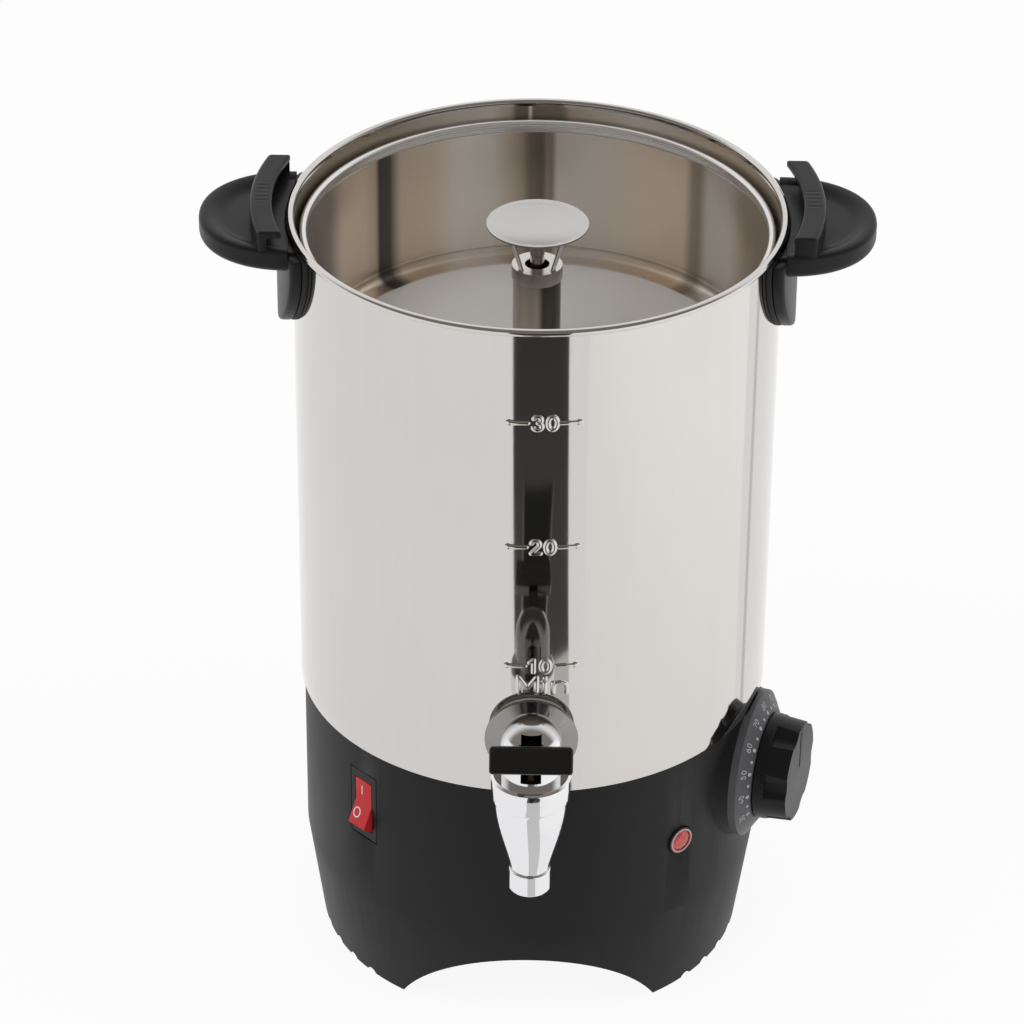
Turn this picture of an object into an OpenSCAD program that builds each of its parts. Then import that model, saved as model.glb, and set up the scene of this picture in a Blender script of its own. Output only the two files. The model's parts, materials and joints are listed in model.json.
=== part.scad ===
// Coffee urn: steel tank on a black heater base, with a coffee basket, pump tube, tap and thermostat.
// Millimetres. The tank's axis is Z, the table is Z = 0 and the tap points along -Y.
// Angles around the tank are counted from the tap, and grow towards +X.

/* [Tank] */
// Outer radius of the steel tank
tank_r = 100; // [98.5:0.5:102]
// Thickness of the tank's sheet
sheet_t = 0.8; // [0.6:0.1:1.2]
// Height of the tank, from its lower edge to the middle of the rim bead
tank_h = 218.2; // [210:0.1:230]
// Radius of the rolled rim bead
bead_r = 1.6; // [1.2:0.1:2]
// Height of the tank floor above the tank's lower edge
floor_rise = 9; // [8:0.5:10]
// Thickness of the tank floor
floor_t = 1; // [0.8:0.1:1.5]
// Inner radius of the pump well in the floor
well_r = 24; // [23:0.5:26]
// Depth of the pump well
well_depth = 11; // [10:0.5:12]

/* [Base] */
// Height of the base up to the tank's lower edge
base_h = 123.8; // [122:0.1:128]
// Distance of the base's side behind the tank's side
base_inset = 1.5; // [1.5:0.1:2.5]
// Narrowing of the base's radius from the crease to the table
foot_inset = 6.5; // [4.5:0.5:8.5]
// Height where the base begins to taper towards the table
crease_h = 47; // [44:0.5:49]
// Wall thickness of the base
base_t = 2.5; // [2:0.1:3]
// Half width of the arch at the table
arch_w = 54; // [50:1:56]
// Height of the arch
arch_h = 34; // [30:0.5:35]
// Radius of the small notches in the foot edge
notch_r = 3; // [2:0.1:4]
// Angle from one notch to the next, in degrees
notch_pitch = 8.4; // [8:0.1:10]
// Thickness of the bottom cover
cover_t = 2; // [1.5:0.1:3]
// Radius of the vent holes in the bottom cover
vent_r = 4; // [2:0.5:5]

/* [Heater] */
// Distance from the tank's inside to the edge of the heat plate under the floor
plate_margin = 39.2; // [37.2:0.5:43.2]
// Thickness of the heat plate
plate_t = 4; // [3:0.5:5]
// Distance from the heat plate's edge to the middle of the heating element's ring
element_inset = 18; // [14:1:22]
// Radius of the heating element's tube
element_tube_r = 4; // [3:0.5:4.5]
// Arc of the heating element's ring, in degrees
element_arc = 320; // [300:5:330]
// Overhang of the heat shield past the heat plate
shield_overhang = 2; // [0:1:4]
// Depth of the heat shield below the tank floor
shield_drop = 27.8; // [25.8:0.5:31.8]
// Radius of the centre stud
stud_r = 3; // [2.5:0.5:4]
// Distance across the flats of the stud's nuts
stud_nut_af = 11; // [10:0.5:13]
// Thickness of the stud's nuts
stud_nut_t = 5; // [4:0.5:6]
// Radius of the thermostat's sensor bulb
bulb_r = 3; // [2.5:0.5:3.5]
// Length of the sensor bulb
bulb_len = 50; // [40:2:56]
// Distance from the heat plate's edge to the middle of the sensor bulb
bulb_gap = 16; // [14:1:18]
// Radius of the boil-dry cut-out
cutout_r = 8; // [7:0.5:9]
// Height of the boil-dry cut-out
cutout_h = 10; // [8:0.5:12]

/* [Thermostat] */
// Angle of the dial from the tap
dial_a = 71.4; // [68:0.2:76]
// Height of the dial's axis above the table
dial_h = 93.3; // [92:0.1:95]
// Radius of the dial plate
dial_r = 32; // [31:0.5:33]
// Radius of the dial plate's raised ring, beside the knob
dial_top_r = 24.4; // [24:0.1:27]
// Thickness of the dial plate's edge
dial_edge_t = 3.3; // [2.5:0.1:4]
// Height of the dial plate's slope above its edge
dial_slope_h = 4.6; // [3:0.1:6]
// Radius of the knob at its back
knob_r = 23.2; // [21:0.1:23.8]
// Radius of the knob at its front
knob_front_r = 21.8; // [20:0.1:22]
// Length of the knob
knob_h = 14.3; // [12:0.1:18]
// Gap between the knob and the dial plate
knob_gap = 0.5; // [0.3:0.1:1]
// Number of finger hollows in the knob
knob_hollows = 6; // [4:1:8]
// Radius of the thermostat's spindle
spindle_r = 3; // [2.5:0.1:3.5]
// Width of the thermostat's body
thermostat_w = 34; // [30:1:36]
// Length of the thermostat's body
thermostat_len = 14; // [12:1:16]
// Radius of the screws that hold the thermostat
thermostat_screw_r = 2; // [1.5:0.1:2]

/* [Switch and lamp] */
// Angle of the switch from the tap
switch_a = -46; // [-50:0.5:-42]
// Height of the switch's middle above the table
switch_h = 94; // [90:0.5:98]
// Width of the switch's bezel
bezel_w = 15.6; // [15:0.1:17]
// Height of the switch's bezel
bezel_h = 33.2; // [32:0.1:36]
// Thickness of the switch's bezel
bezel_t = 1.4; // [1:0.1:1.6]
// Width of the rocker
rocker_w = 9.8; // [9:0.1:10.4]
// Radius of the rocker about its pivot
rocker_r = 12.7; // [12:0.1:13]
// Distance from the rocker's pivot to its flat face
rocker_face = 4.5; // [4:0.1:5]
// Tilt of the rocker to each side of its middle, in degrees
rocker_tilt = 12; // [8:0.5:13]
// Angle of the pilot lamp from the tap
lamp_a = 40.2; // [36:0.2:42]
// Height of the pilot lamp above the table
lamp_h = 82.7; // [78:0.1:86]
// Radius of the pilot lamp's ring
lamp_ring_r = 6.3; // [6:0.1:7]
// Radius of the pilot lamp's lens
lens_r = 5; // [4:0.1:5.2]

/* [Power inlet] */
// Height of the inlet's middle above the table
inlet_h = 62; // [61:0.5:66]
// Width of the inlet's flange
inlet_w = 31; // [30:0.5:34]
// Height of the inlet's flange
inlet_flange_h = 24; // [23:0.5:25]
// Thickness of the inlet's flange
inlet_flange_t = 2; // [1.5:0.1:3]
// Width of the inlet's socket
socket_w = 24; // [23:0.5:24]
// Height of the inlet's socket
socket_h = 16.4; // [16:0.1:17]
// Depth of the inlet's socket
socket_depth = 17; // [15:0.5:18]

/* [Handles] */
// Reach of a handle from the tank's side
handle_reach = 38; // [34:0.5:42]
// Half width of a handle's grip
grip_w = 36; // [35:0.5:38]
// Height of a handle's grip
grip_h = 10; // [8:0.5:11]
// Depth of the grip's top below the middle of the rim bead
grip_drop = 0.5; // [0.3:0.1:1]
// Depth of the hollow in the grip's top
dish_h = 2.4; // [1:0.1:3]
// Depth of the lid slot's floor below the grip's top
slot_drop = 1.2; // [0.8:0.1:1.5]
// Width of the lip around the hollow
lip_w = 4; // [3:0.5:6]
// Distance from the tank's side to the inside of the lid hook's wall
hook_gap = 13.4; // [12:0.1:14]
// Thickness of the lid hook's wall
hook_t = 3.6; // [3:0.1:4]
// Half length of the lid hook along the rim
hook_w = 34.5; // [30:0.5:36]
// Height of the lid hook above the grip
hook_h = 7.9; // [7.5:0.1:8.5]
// Thickness of the lid hook's top flange
hook_flange_t = 3.1; // [2.5:0.1:3.5]
// Width of the lid hook's top flange
hook_flange_w = 9; // [8:0.5:9.5]
// Thickness of the handle's mounting leg
leg_t = 4.2; // [3.5:0.1:5]
// Half width of a handle's mounting leg
leg_w = 46; // [44:0.5:48]
// Depth of the mounting leg's top below the middle of the rim bead
leg_drop = 3; // [2.6:0.1:4]
// Height of the mounting leg, with its rounded end
leg_h = 43; // [40:1:45]
// Thickness of the gasket between handle and tank
gasket_t = 2.1; // [1.5:0.1:2.5]
// Radius of the handle screws
handle_screw_r = 2; // [1.5:0.1:2.5]
// Depth of the handle screws below the middle of the rim bead
handle_screw_drop = 20; // [18:0.5:22]
// Angle of the handle screws from the handle's middle, in degrees
handle_screw_a = 12; // [9:1:16]

/* [Basket] */
// Gap between the basket's rim and the tank's wall
basket_gap = 2; // [1.8:0.1:4]
// Radius of the basket's rolled rim
basket_bead_r = 1.6; // [1.3:0.1:2]
// Depth of the basket's rim below the middle of the tank's rim bead
basket_drop = 7.5; // [6:0.5:10]
// Depth of the basket, from its rim to its floor
basket_h = 62; // [56:0.5:70]
// Thickness of the basket's sheet
basket_t = 0.6; // [0.5:0.1:1]
// Radius of the round corner between the basket's wall and floor
basket_corner_r = 5; // [3:0.5:6]
// Outer radius of the basket's centre sleeve
sleeve_r = 9.9; // [9:0.1:11]
// Height of the sleeve's collar above the basket's floor
sleeve_h = 45.7; // [42:0.1:48]
// Height of the collar on the sleeve
collar_h = 6; // [5:0.5:7]
// Radius of the spreader disc
spreader_r = 21; // [18:0.5:24]
// Height of the spreader disc above the collar
spreader_rise = 17.1; // [14:0.1:20]
// Thickness of the spreader disc
spreader_t = 0.8; // [0.6:0.1:1.2]

/* [Pump tube] */
// Outer radius of the pump tube
tube_r = 3; // [2.5:0.1:3.5]
// Wall of the pump tube
tube_t = 0.5; // [0.4:0.1:0.8]
// Radius of the collar that carries the basket
stop_r = 14; // [12.5:0.5:18]
// Gap between the pump bell and the wall of the pump well
bell_gap = 2; // [1.5:0.5:4]
// Height of the pump bell
bell_h = 9; // [8:0.5:12]
// Thickness of the valve washer
washer_t = 0.6; // [0.5:0.1:1]
// Travel of the valve washer
washer_travel = 2; // [1:0.1:2.5]

/* [Tap] */
// Height of the tap's hole above the tank's lower edge
tap_rise = 28.9; // [27:0.1:34]
// Distance from the tank to the tap's upright axis
tap_reach = 40; // [38:0.5:46]
// Radius of the tap's shank
shank_r = 8; // [7:0.5:8.5]
// Radius of the water way
way_r = 5; // [4:0.5:5]
// Radius of the tap's barrel
barrel_r = 16.2; // [15:0.1:17]
// Height of the barrel's top above the shank's axis
barrel_top = 9.3; // [9:0.1:12]
// Length of the barrel below the shank's axis
barrel_drop = 36.7; // [34:0.1:42]
// Radius of the barrel's lower end
barrel_end_r = 7.9; // [7.6:0.1:9]
// Radius of the valve chamber
chamber_r = 10; // [9:0.1:11]
// Radius of the spout
spout_r = 8.6; // [8.4:0.1:9.4]
// Length of the spout
spout_h = 10; // [8:0.5:16]
// Radius of the round flange on the tank
flange_r = 19.2; // [18:0.1:20]
// Radius of the bonnet
bonnet_r = 12.5; // [12:0.1:13.5]
// Height of the bonnet's straight part
bonnet_h = 14; // [13.5:0.5:16]
// Distance from the lever's pivot to the stem's axis
lever_arm = 9.5; // [9:0.1:9.8]
// Angle of the lever above level, in degrees
lever_a = 33; // [26:1:36]
// Length of the lever from its pivot
lever_len = 26; // [24:0.5:34]
// Width of the lever's grip
lever_w = 33; // [28:0.5:38]
// Thickness of the lever's grip
lever_t = 11; // [9:0.5:12]
// Radius of the valve stem
stem_r = 3.5; // [3:0.1:4]

/* [Clearances] */
// Radial clearance of parts that turn in a hole
running_gap = 0.05; // [0.03:0.01:0.1]
// Clearance between loose parts
loose_gap = 0.3; // [0.2:0.05:0.5]

/* [Hidden] */
$fn = 96;
eps = 0.02;
over = 2; // how far a cutting shape passes a face

tank_in = tank_r - sheet_t;
rim_z = base_h + tank_h;
floor_top = base_h + floor_rise;
floor_under = floor_top - floor_t;
well_top = floor_top - well_depth;
well_under = well_top - floor_t;
seam_gap = 0.3;

// base
base_r = tank_r - base_inset;
foot_r = base_r - foot_inset;
arch_r = (arch_w * arch_w + arch_h * arch_h) / (2 * arch_h);
notch_sink = 0.4 * notch_r;
notch_first = asin(arch_w / foot_r) + notch_pitch;
notch_count = floor((180 - 2 * notch_first) / notch_pitch) + 1;
notch_start = 90 - (notch_count - 1) / 2 * notch_pitch;
cover_z = arch_h + 4;
cover_top = cover_z + cover_t;
ledge_w = 7;
ledge_t = 2.5;
function taper_r(z) = foot_r + (base_r - foot_r) * min(z, crease_h) / crease_h;
cover_r = taper_r(cover_z) - base_t - loose_gap;
vent_count = 12;

// heater
plate_r = tank_in - plate_margin;
vent_ring_r = plate_r;
element_r = plate_r - element_inset;
element_z = floor_under - plate_t;
element_drop = 0.8 * element_tube_r;
terminal_r = 0.55 * element_tube_r;
terminal_len = 14;
terminal_turn = 3;
shield_r = plate_r + shield_overhang;
shield_z = floor_under - shield_drop;
shield_t = 0.8;
shield_lip = 5;
stud_end_len = 3;
stud_end = cover_z - stud_nut_t - stud_end_len;
plate_gap = 0.3;
clip_t = 0.8;
clip_len = 12;
clip_ear = 7;
bulb_a = 135;
bulb_d = plate_r + bulb_gap;
cutout_a = -120;
cutout_d = plate_r + 18;
cutout_ear_l = 6;
cutout_ear_t = 0.8;
cutout_tab_x = 4;

// thermostat: distances are from the tank's axis, along the dial's own axis
boss_d = base_r + 0.4;
boss_in = boss_d - base_t;
boss_root_r = dial_r + 2;
boss_hollow_r = dial_r - 3;
dial_front = boss_d + dial_edge_t + dial_slope_h;
dial_floor = boss_d + dial_edge_t + 1;
knob_back = dial_front + knob_gap;
knob_front = knob_back + knob_h;
knob_bore = 9;
hollow_r = 9;
hollow_out = 5.8;
hollow_at = knob_r + hollow_out;
hollow_start = 4.5;
hollow_turn = 170;
pointer_w = 1.2;
pointer_end = 2;
pointer_depth = 0.6;
dial_ring_w = 4;
spindle_gap = 2;
boss_l = 16;
boss_flare = 3;
boss_draft = 2;
spindle_start = boss_in - 0.7 * thermostat_len;
screw_x = 12.5;
screw_head_r = 1.75 * thermostat_screw_r;
screw_head_t = 2;
capsule_r = 13;
capsule_len = 8;
capsule_back = boss_in - thermostat_len - capsule_len - loose_gap; // where wires and tube end
capillary_r = 1;
thermostat_hole = 6;

// switch
switch_face = base_r - 0.2;
pivot_d = switch_face - rocker_face;
bezel_clear = 0.3;
body_w = bezel_w - 2;
body_h = bezel_h - 4;
switch_back = switch_face - 22;
cavity_w = rocker_w + 0.6;
cavity_r = rocker_r + 0.4;
trunnion_r = 1.5;
trunnion_len = 1;
tab_w = 5;
tab_t = 0.8;
tab_len = 7;

// lamp
lamp_face = base_r + 0.7;
lamp_seat = base_r - 1.3;
lens_seat = lamp_face - 3;
lamp_barrel_r = lens_r + 0.5;
lamp_back = base_r - 18;
lens_dome = 1.4;

// inlet
inlet_pad = base_r + 0.6;
inlet_body_w = socket_w + 2.6;
inlet_body_h = socket_h + 3.2;
socket_floor = inlet_pad + inlet_flange_t - socket_depth;
inlet_back = socket_floor - 9;
pin_front = socket_floor + 11.5;
pin_back = inlet_back - 8;
pin_w = 2;
pin_tall = 4;
pin_x = 7;
pin_up = 4;

// handle
grip_end = tank_r + handle_reach;
hook_r = tank_r + hook_gap;
hook_lip_r = hook_r + hook_t - hook_flange_w;
grip_top = rim_z - grip_drop;
grip_under = grip_top - grip_h;
leg_in = tank_r + gasket_t + 0.3;
leg_out = leg_in + leg_t;
grip_root = tank_r;
slot_floor = grip_top - slot_drop;
hook_top = grip_top + hook_h;
leg_top = rim_z - leg_drop;
screw_z = rim_z - handle_screw_drop;
head_t = 1.8;
head_r = 1.9 * handle_screw_r;
seal_t = 0.5;
seal_r = head_r + 0.6;
seal_face = sqrt(tank_in * tank_in - seal_r * seal_r);
insert_r = handle_screw_r + 1.2;

// basket
basket_rim_z = rim_z - basket_drop;
basket_floor_z = basket_rim_z - basket_h;
basket_bead_at = tank_in - basket_gap - basket_bead_r;
basket_out = basket_bead_at;
basket_in = basket_out - basket_t;
shoulder_in = basket_in - basket_corner_r;
sleeve_t = 0.6;
sleeve_in = sleeve_r - sleeve_t;
sleeve_foot = basket_t;
collar_top = basket_floor_z + sleeve_h;
collar_r = sleeve_r + 0.6;
collar_hole = tube_r + 2;
collar_lip_t = 1;
spreader_z = collar_top + spreader_rise;
spreader_leg_out = spreader_r - 7;
spreader_leg_in = collar_r - 2;
spreader_leg_w = 2.4;
spreader_leg_t = 0.8;

// pump
bell_r = well_r - bell_gap;
stop_t = 2;
stop_z = basket_floor_z - 2 * basket_t - stop_t;
tube_top = spreader_z - 6;
tube_foot = well_top + 1.2;
foot_flange_r = tube_r + 1.2;
foot_flange_t = 0.6;
bell_neck_r = tube_r + 1.2;
bell_neck_h = 4;
bell_t = 0.8;
bell_roof = well_top + bell_h;
notch_w = 5;
notch_h = 1.4;
washer_z = tube_foot + foot_flange_t;
washer_r = bell_r - 9;

// tap: the upright parts stand on tap_y, the shank lies on tap_z
tap_z = base_h + tap_rise;
tap_y = -(tank_r + tap_reach);
barrel_z = tap_z + barrel_top;
barrel_foot = tap_z - barrel_drop;
seat_z = tap_z - 19;
plug_t = 6;
gasket_d = tank_r + 2.2;
flange_t = 3.8;
inner_gasket_d = tank_in - 2.7;
tap_nut_t = 5;
tap_nut_af = 3 * shank_r;
gasket_r = shank_r + 6;
tap_gasket_out_r = flange_r - 2.2;
spigot_r = barrel_end_r - 0.9;
spigot_h = 4;
spout_bore = way_r + 0.5;
spout_top = barrel_foot;
spout_foot = spout_top - spout_h;
dome_z = barrel_z + bonnet_h;
pivot_z = dome_z - 0.5;
pivot_y = tap_y - lever_arm;
pin_r = 1.2;
pin_half = sqrt(bonnet_r * bonnet_r - lever_arm * lever_arm) - 0.6;
slot_w = 8.2;
tongue_w = slot_w - 0.6;
tongue_t = 5.8;
hub_r = 3.3;
tip_r = 2.3;
tip_neck_t = 2;
tip_w = 3.2;
stem_slot_w = tip_w + 0.6;
stem_slot_h = 2 * tip_r + 0.7;
cup_r = 8;
cup_h = 6;
spring_foot = tap_z - 7;
spring_seat_t = 2;
spring_wire_r = 0.5;
spring_coil_r = 6;
spring_turns = 4;
spring_steps = 20;
cavity_top = dome_z + 0.62 * bonnet_r;
stem_room_top = dome_z + 0.8 * bonnet_r;
stem_top = pivot_z + 4.2;

// ---- helpers ----

// A ring between two radii
module ring(r_out, r_in, h) {
  difference() {
    cylinder(r = r_out, h = h);
    translate([0, 0, -over]) cylinder(r = r_in, h = h + 2 * over);
  }
}

// Turns the child's Z outwards at angle a around the tank, at height z
module outwards(a, z) {
  rotate([0, 0, a]) translate([0, 0, z]) rotate([90, 0, 0]) children();
}

// A box centred on X and Y that runs between two distances along Z
module slab(w, h, from, to) {
  translate([-w / 2, -h / 2, from]) cube([w, h, to - from]);
}

// A rod of radius r that runs between two distances along Z
module rod(r, from, to) {
  translate([0, 0, from]) cylinder(r = r, h = to - from);
}

// A hexagonal nut with its foot on Z = 0
module hex_nut(af, hole, h) {
  difference() {
    rotate([0, 0, 30]) cylinder(r = af / 2 / cos(30), h = h, $fn = 6);
    translate([0, 0, -over]) cylinder(r = hole, h = h + 2 * over);
  }
}

// One point of a smooth curve through p1 and p2 (Catmull-Rom), t from 0 to 1
function blend_point(p0, p1, p2, p3, t) =
  0.5 * (2 * p1 + (p2 - p0) * t + (2 * p0 - 5 * p1 + 4 * p2 - p3) * t * t
    + (3 * p1 - p0 - 3 * p2 + p3) * t * t * t);

// A route's smooth points, with a number of steps from each given point to the next
function smooth_route(p, steps) = concat(
  [for (i = [0 : len(p) - 2]) for (s = [0 : steps - 1])
    blend_point(p[max(i - 1, 0)], p[i], p[i + 1], p[min(i + 2, len(p) - 1)], s / steps)],
  [p[len(p) - 1]]);

function unit(v) = v / norm(v);

// A direction square to t, the same for the whole route as long as t isn't along ref
function side_of(t, ref) = unit(cross(t, ref));

// A round wire of radius r along a list of points, as one closed skin
module wire(points, r, ref, sides = 8) {
  n = len(points);
  dirs = [for (i = [0 : n - 1]) unit(points[min(i + 1, n - 1)] - points[max(i - 1, 0)])];
  skin = [for (i = [0 : n - 1]) for (k = [0 : sides - 1])
    let (u = side_of(dirs[i], ref), w = cross(dirs[i], u))
    points[i] + r * (cos(k * 360 / sides) * u + sin(k * 360 / sides) * w)];
  walls = [for (i = [0 : n - 2]) for (k = [0 : sides - 1])
    [i * sides + k, (i + 1) * sides + k, (i + 1) * sides + (k + 1) % sides, i * sides + (k + 1) % sides]];
  ends = [[for (k = [0 : sides - 1]) k], [for (k = [sides - 1 : -1 : 0]) (n - 1) * sides + k]];
  polyhedron(points = skin, faces = concat(walls, ends));
}

// A point at angle a around the tank, at distance d from its axis, moved sideways by x
function around(a, d, z, x = 0) = [d * sin(a) + x * cos(a), -d * cos(a) + x * sin(a), z];

// ---- tank ----

module tank_wall() {
  color("gainsboro") difference() {
    rotate_extrude() union() {
      translate([tank_in, base_h]) square([sheet_t, tank_h]);
      translate([tank_in + bead_r, rim_z]) circle(r = bead_r);
    }
    outwards(0, tap_z) rod(shank_r, tank_in - 3 * over, tank_r + 3 * over);
    for (s = [-1, 1]) for (t = [-1, 1])
      outwards(s * 90 + t * handle_screw_a, screw_z) rod(handle_screw_r, tank_in - over, tank_r + over);
  }
}

module tank_floor() {
  color("silver") rotate_extrude() polygon([
    [0, well_under], [well_r + floor_t, well_under], [well_r + floor_t, floor_under],
    [tank_in, floor_under], [tank_in, floor_top], [well_r, floor_top], [well_r, well_top], [0, well_top]
  ]);
}

// ---- base ----

module base_profile() {
  polygon([
    [foot_r - base_t, 0], [foot_r, 0], [base_r, crease_h], [base_r, floor_under],
    [base_r - base_t, floor_under], [base_r - base_t, crease_h]
  ]);
}

module base_shell() {
  color("#2b2b2d") difference() {
    union() {
      rotate_extrude() base_profile();
      intersection() {
        translate([0, 0, cover_top]) ring(base_r, taper_r(cover_top) - base_t - ledge_w, ledge_t);
        cylinder(r1 = foot_r - base_t / 2, r2 = base_r - base_t / 2, h = crease_h);
      }
      difference() {
        outwards(dial_a, dial_h) translate([0, 0, boss_d - boss_l])
          cylinder(r1 = boss_root_r + boss_flare, r2 = boss_root_r - boss_draft, h = boss_l);
        cylinder(r = base_r - base_t / 2, h = rim_z);
        translate([0, 0, base_h - seam_gap]) cylinder(r = 2 * tank_r, h = tank_h);
      }
      difference() {
        outwards(180, inlet_h) slab(inlet_w + 3, inlet_flange_h + 2, base_r - 6, inlet_pad);
        cylinder(r = base_r - base_t / 2, h = rim_z);
      }
    }
    translate([0, 0, arch_h - arch_r]) rotate([90, 0, 0]) cylinder(r = arch_r, h = 3 * foot_r, center = true);
    for (s = [-1, 1]) for (i = [0 : notch_count - 1])
      outwards(s * (notch_start + i * notch_pitch), -notch_sink)
        rod(notch_r, foot_r - 2 * base_t, foot_r + over);
    outwards(dial_a, dial_h) {
      rod(boss_hollow_r, base_r - 20, boss_in);
      rod(spindle_r + spindle_gap, boss_in - over, boss_d + over);
      for (s = [-1, 1]) translate([s * screw_x, 0, 0])
        rod(thermostat_screw_r + 0.2, boss_in - over, boss_d + over);
    }
    outwards(switch_a, switch_h) {
      slab(bezel_w + 2 * bezel_clear, bezel_h + 2 * bezel_clear, switch_face - bezel_t, base_r + over);
      slab(body_w + 2 * bezel_clear, body_h + 2 * bezel_clear, base_r - 12, base_r + over);
    }
    outwards(lamp_a, lamp_h) {
      rod(lamp_ring_r + loose_gap, lamp_seat, base_r + over);
      rod(lamp_barrel_r + loose_gap, base_r - 8, base_r + over);
    }
    outwards(180, inlet_h)
      slab(inlet_body_w + 2 * bezel_clear, inlet_body_h + 2 * bezel_clear, base_r - 12, inlet_pad + over);
  }
}

module bottom_cover() {
  color("#8a8c8e") translate([0, 0, cover_z]) difference() {
    cylinder(r = cover_r, h = cover_t);
    translate([0, 0, -over]) cylinder(r = stud_r, h = cover_t + 2 * over);
    for (i = [0 : vent_count - 1]) rotate([0, 0, (i + 0.5) * 360 / vent_count])
      translate([vent_ring_r, 0, -over]) cylinder(r = vent_r, h = cover_t + 2 * over);
  }
}

module centre_stud() {
  color("#b8b4a8") rod(stud_r, stud_end, well_under);
}

module stud_nuts() {
  color("#c9c6bb") {
    translate([0, 0, cover_z - stud_nut_t]) hex_nut(stud_nut_af, stud_r, stud_nut_t);
    translate([0, 0, shield_z - stud_nut_t]) hex_nut(stud_nut_af, stud_r, stud_nut_t);
    translate([0, 0, shield_z + shield_t]) hex_nut(stud_nut_af, stud_r, stud_nut_t);
  }
}

module heat_shield() {
  color("#c4c6c8") translate([0, 0, shield_z]) {
    ring(shield_r, stud_r, shield_t);
    ring(shield_r, shield_r - shield_t, shield_lip);
  }
}

// ---- heater ----

module heat_plate() {
  color("#b9bcc0") translate([0, 0, floor_under - plate_t])
    ring(plate_r, well_r + floor_t + plate_gap, plate_t);
}

module heating_element() {
  end_a = (360 - element_arc) / 2;
  color("#6f6a63") union() {
    rotate([0, 0, end_a]) rotate_extrude(angle = element_arc) translate([element_r, element_z - element_drop])
      intersection() {
        circle(r = element_tube_r);
        translate([-element_tube_r, -2 * element_tube_r])
          square([2 * element_tube_r, 2 * element_tube_r + element_drop]);
      }
    for (s = [-1, 1]) rotate([0, 0, s * (end_a + terminal_turn)])
      translate([element_r, 0, element_z - element_drop - terminal_len])
        cylinder(r = terminal_r, h = terminal_len);
  }
}

module boil_dry_cutout() {
  color("#3a3733") rotate([0, 0, cutout_a]) translate([0, -cutout_d, 0]) {
    rod(cutout_r, floor_under - cutout_h, floor_under);
    slab(2 * (cutout_r + cutout_ear_l), cutout_r, floor_under - cutout_ear_t, floor_under);
    for (s = [-1, 1]) translate([s * cutout_tab_x, 0, 0])
      slab(tab_t, tab_w, floor_under - cutout_h - tab_len, floor_under - cutout_h + 1);
  }
}

// ---- thermostat ----

module thermostat_body() {
  color("#d9d2bd") outwards(dial_a, dial_h) difference() {
    union() {
      slab(thermostat_w, thermostat_w, boss_in - thermostat_len, boss_in);
      rod(capsule_r, boss_in - thermostat_len - capsule_len, boss_in - thermostat_len + 1);
    }
    rod(spindle_r + running_gap, spindle_start - 0.2, boss_in + over);
    for (s = [-1, 1]) translate([s * screw_x, 0, 0])
      rod(thermostat_screw_r, boss_in - thermostat_hole, boss_in + over);
  }
}

module thermostat_screws() {
  color("#c9c6bb") outwards(dial_a, dial_h) for (s = [-1, 1]) translate([s * screw_x, 0, 0]) {
    rod(thermostat_screw_r, boss_in - thermostat_hole, dial_floor);
    rod(screw_head_r, dial_floor, dial_floor + screw_head_t);
  }
}

module capillary_tube() {
  color("#b87333") wire(smooth_route([
    around(dial_a, capsule_back, dial_h - 6),
    around(dial_a + 2, capsule_back - 8.1, dial_h - 8),
    around(dial_a + 14, capsule_back - 4.1, dial_h + 2),
    around(dial_a + 26, bulb_d - 1, dial_h + 22),
    around(dial_a + 35, bulb_d + 1, floor_under - bulb_r - 2),
    around(bulb_a, bulb_d, floor_under - bulb_r, -bulb_len / 2 - loose_gap)
  ], 4), capillary_r, [0, 0, 1]);
}

module sensor_bulb() {
  color("#b87333") rotate([0, 0, bulb_a]) translate([0, -bulb_d, floor_under - bulb_r])
    rotate([0, 90, 0]) cylinder(r = bulb_r, h = bulb_len, center = true);
}

module sensor_clip() {
  color("#c4c6c8") rotate([0, 0, bulb_a]) translate([clip_len / 2, -bulb_d, floor_under]) rotate([0, -90, 0])
    linear_extrude(height = clip_len) difference() {
      union() {
        translate([-bulb_r, 0]) circle(r = bulb_r + clip_t);
        translate([-clip_t, -bulb_r - clip_ear]) square([clip_t, 2 * (bulb_r + clip_ear)]);
      }
      translate([-bulb_r, 0]) circle(r = bulb_r);
      translate([-bulb_r, -bulb_r]) square([2 * bulb_r, 2 * bulb_r]);
      translate([0, -bulb_r - clip_ear - over])
        square([bulb_r + clip_t + over, 2 * (bulb_r + clip_ear + over)]);
    }
}

module dial_plate() {
  color("#303033") difference() {
    outwards(dial_a, dial_h) difference() {
      union() {
        rod(dial_r, boss_d, boss_d + dial_edge_t);
        translate([0, 0, boss_d + dial_edge_t]) cylinder(r1 = dial_r, r2 = dial_top_r, h = dial_slope_h);
      }
      rod(dial_top_r - dial_ring_w, dial_floor, dial_front + over);
      rod(spindle_r + spindle_gap, boss_d - over, dial_floor + over);
      for (s = [-1, 1]) translate([s * screw_x, 0, 0])
        rod(thermostat_screw_r, boss_d - over, dial_floor + over);
    }
    translate([0, 0, base_h - seam_gap]) cylinder(r = tank_r + loose_gap, h = tank_h);
  }
}

module knob() {
  color("#1f1f21") outwards(dial_a, dial_h) difference() {
    translate([0, 0, knob_back]) cylinder(r1 = knob_r, r2 = knob_front_r, h = knob_h);
    for (i = [0 : knob_hollows - 1]) rotate([0, 0, hollow_turn + i * 360 / knob_hollows])
      translate([hollow_at, 0, 0]) rod(hollow_r, knob_back + hollow_start, knob_front + over);
    rod(spindle_r, knob_back - over, knob_back + knob_bore);
    translate([0, knob_front_r / 2, 0])
      slab(pointer_w, knob_front_r - 2 * pointer_end, knob_front - pointer_depth, knob_front + over);
  }
}

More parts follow.
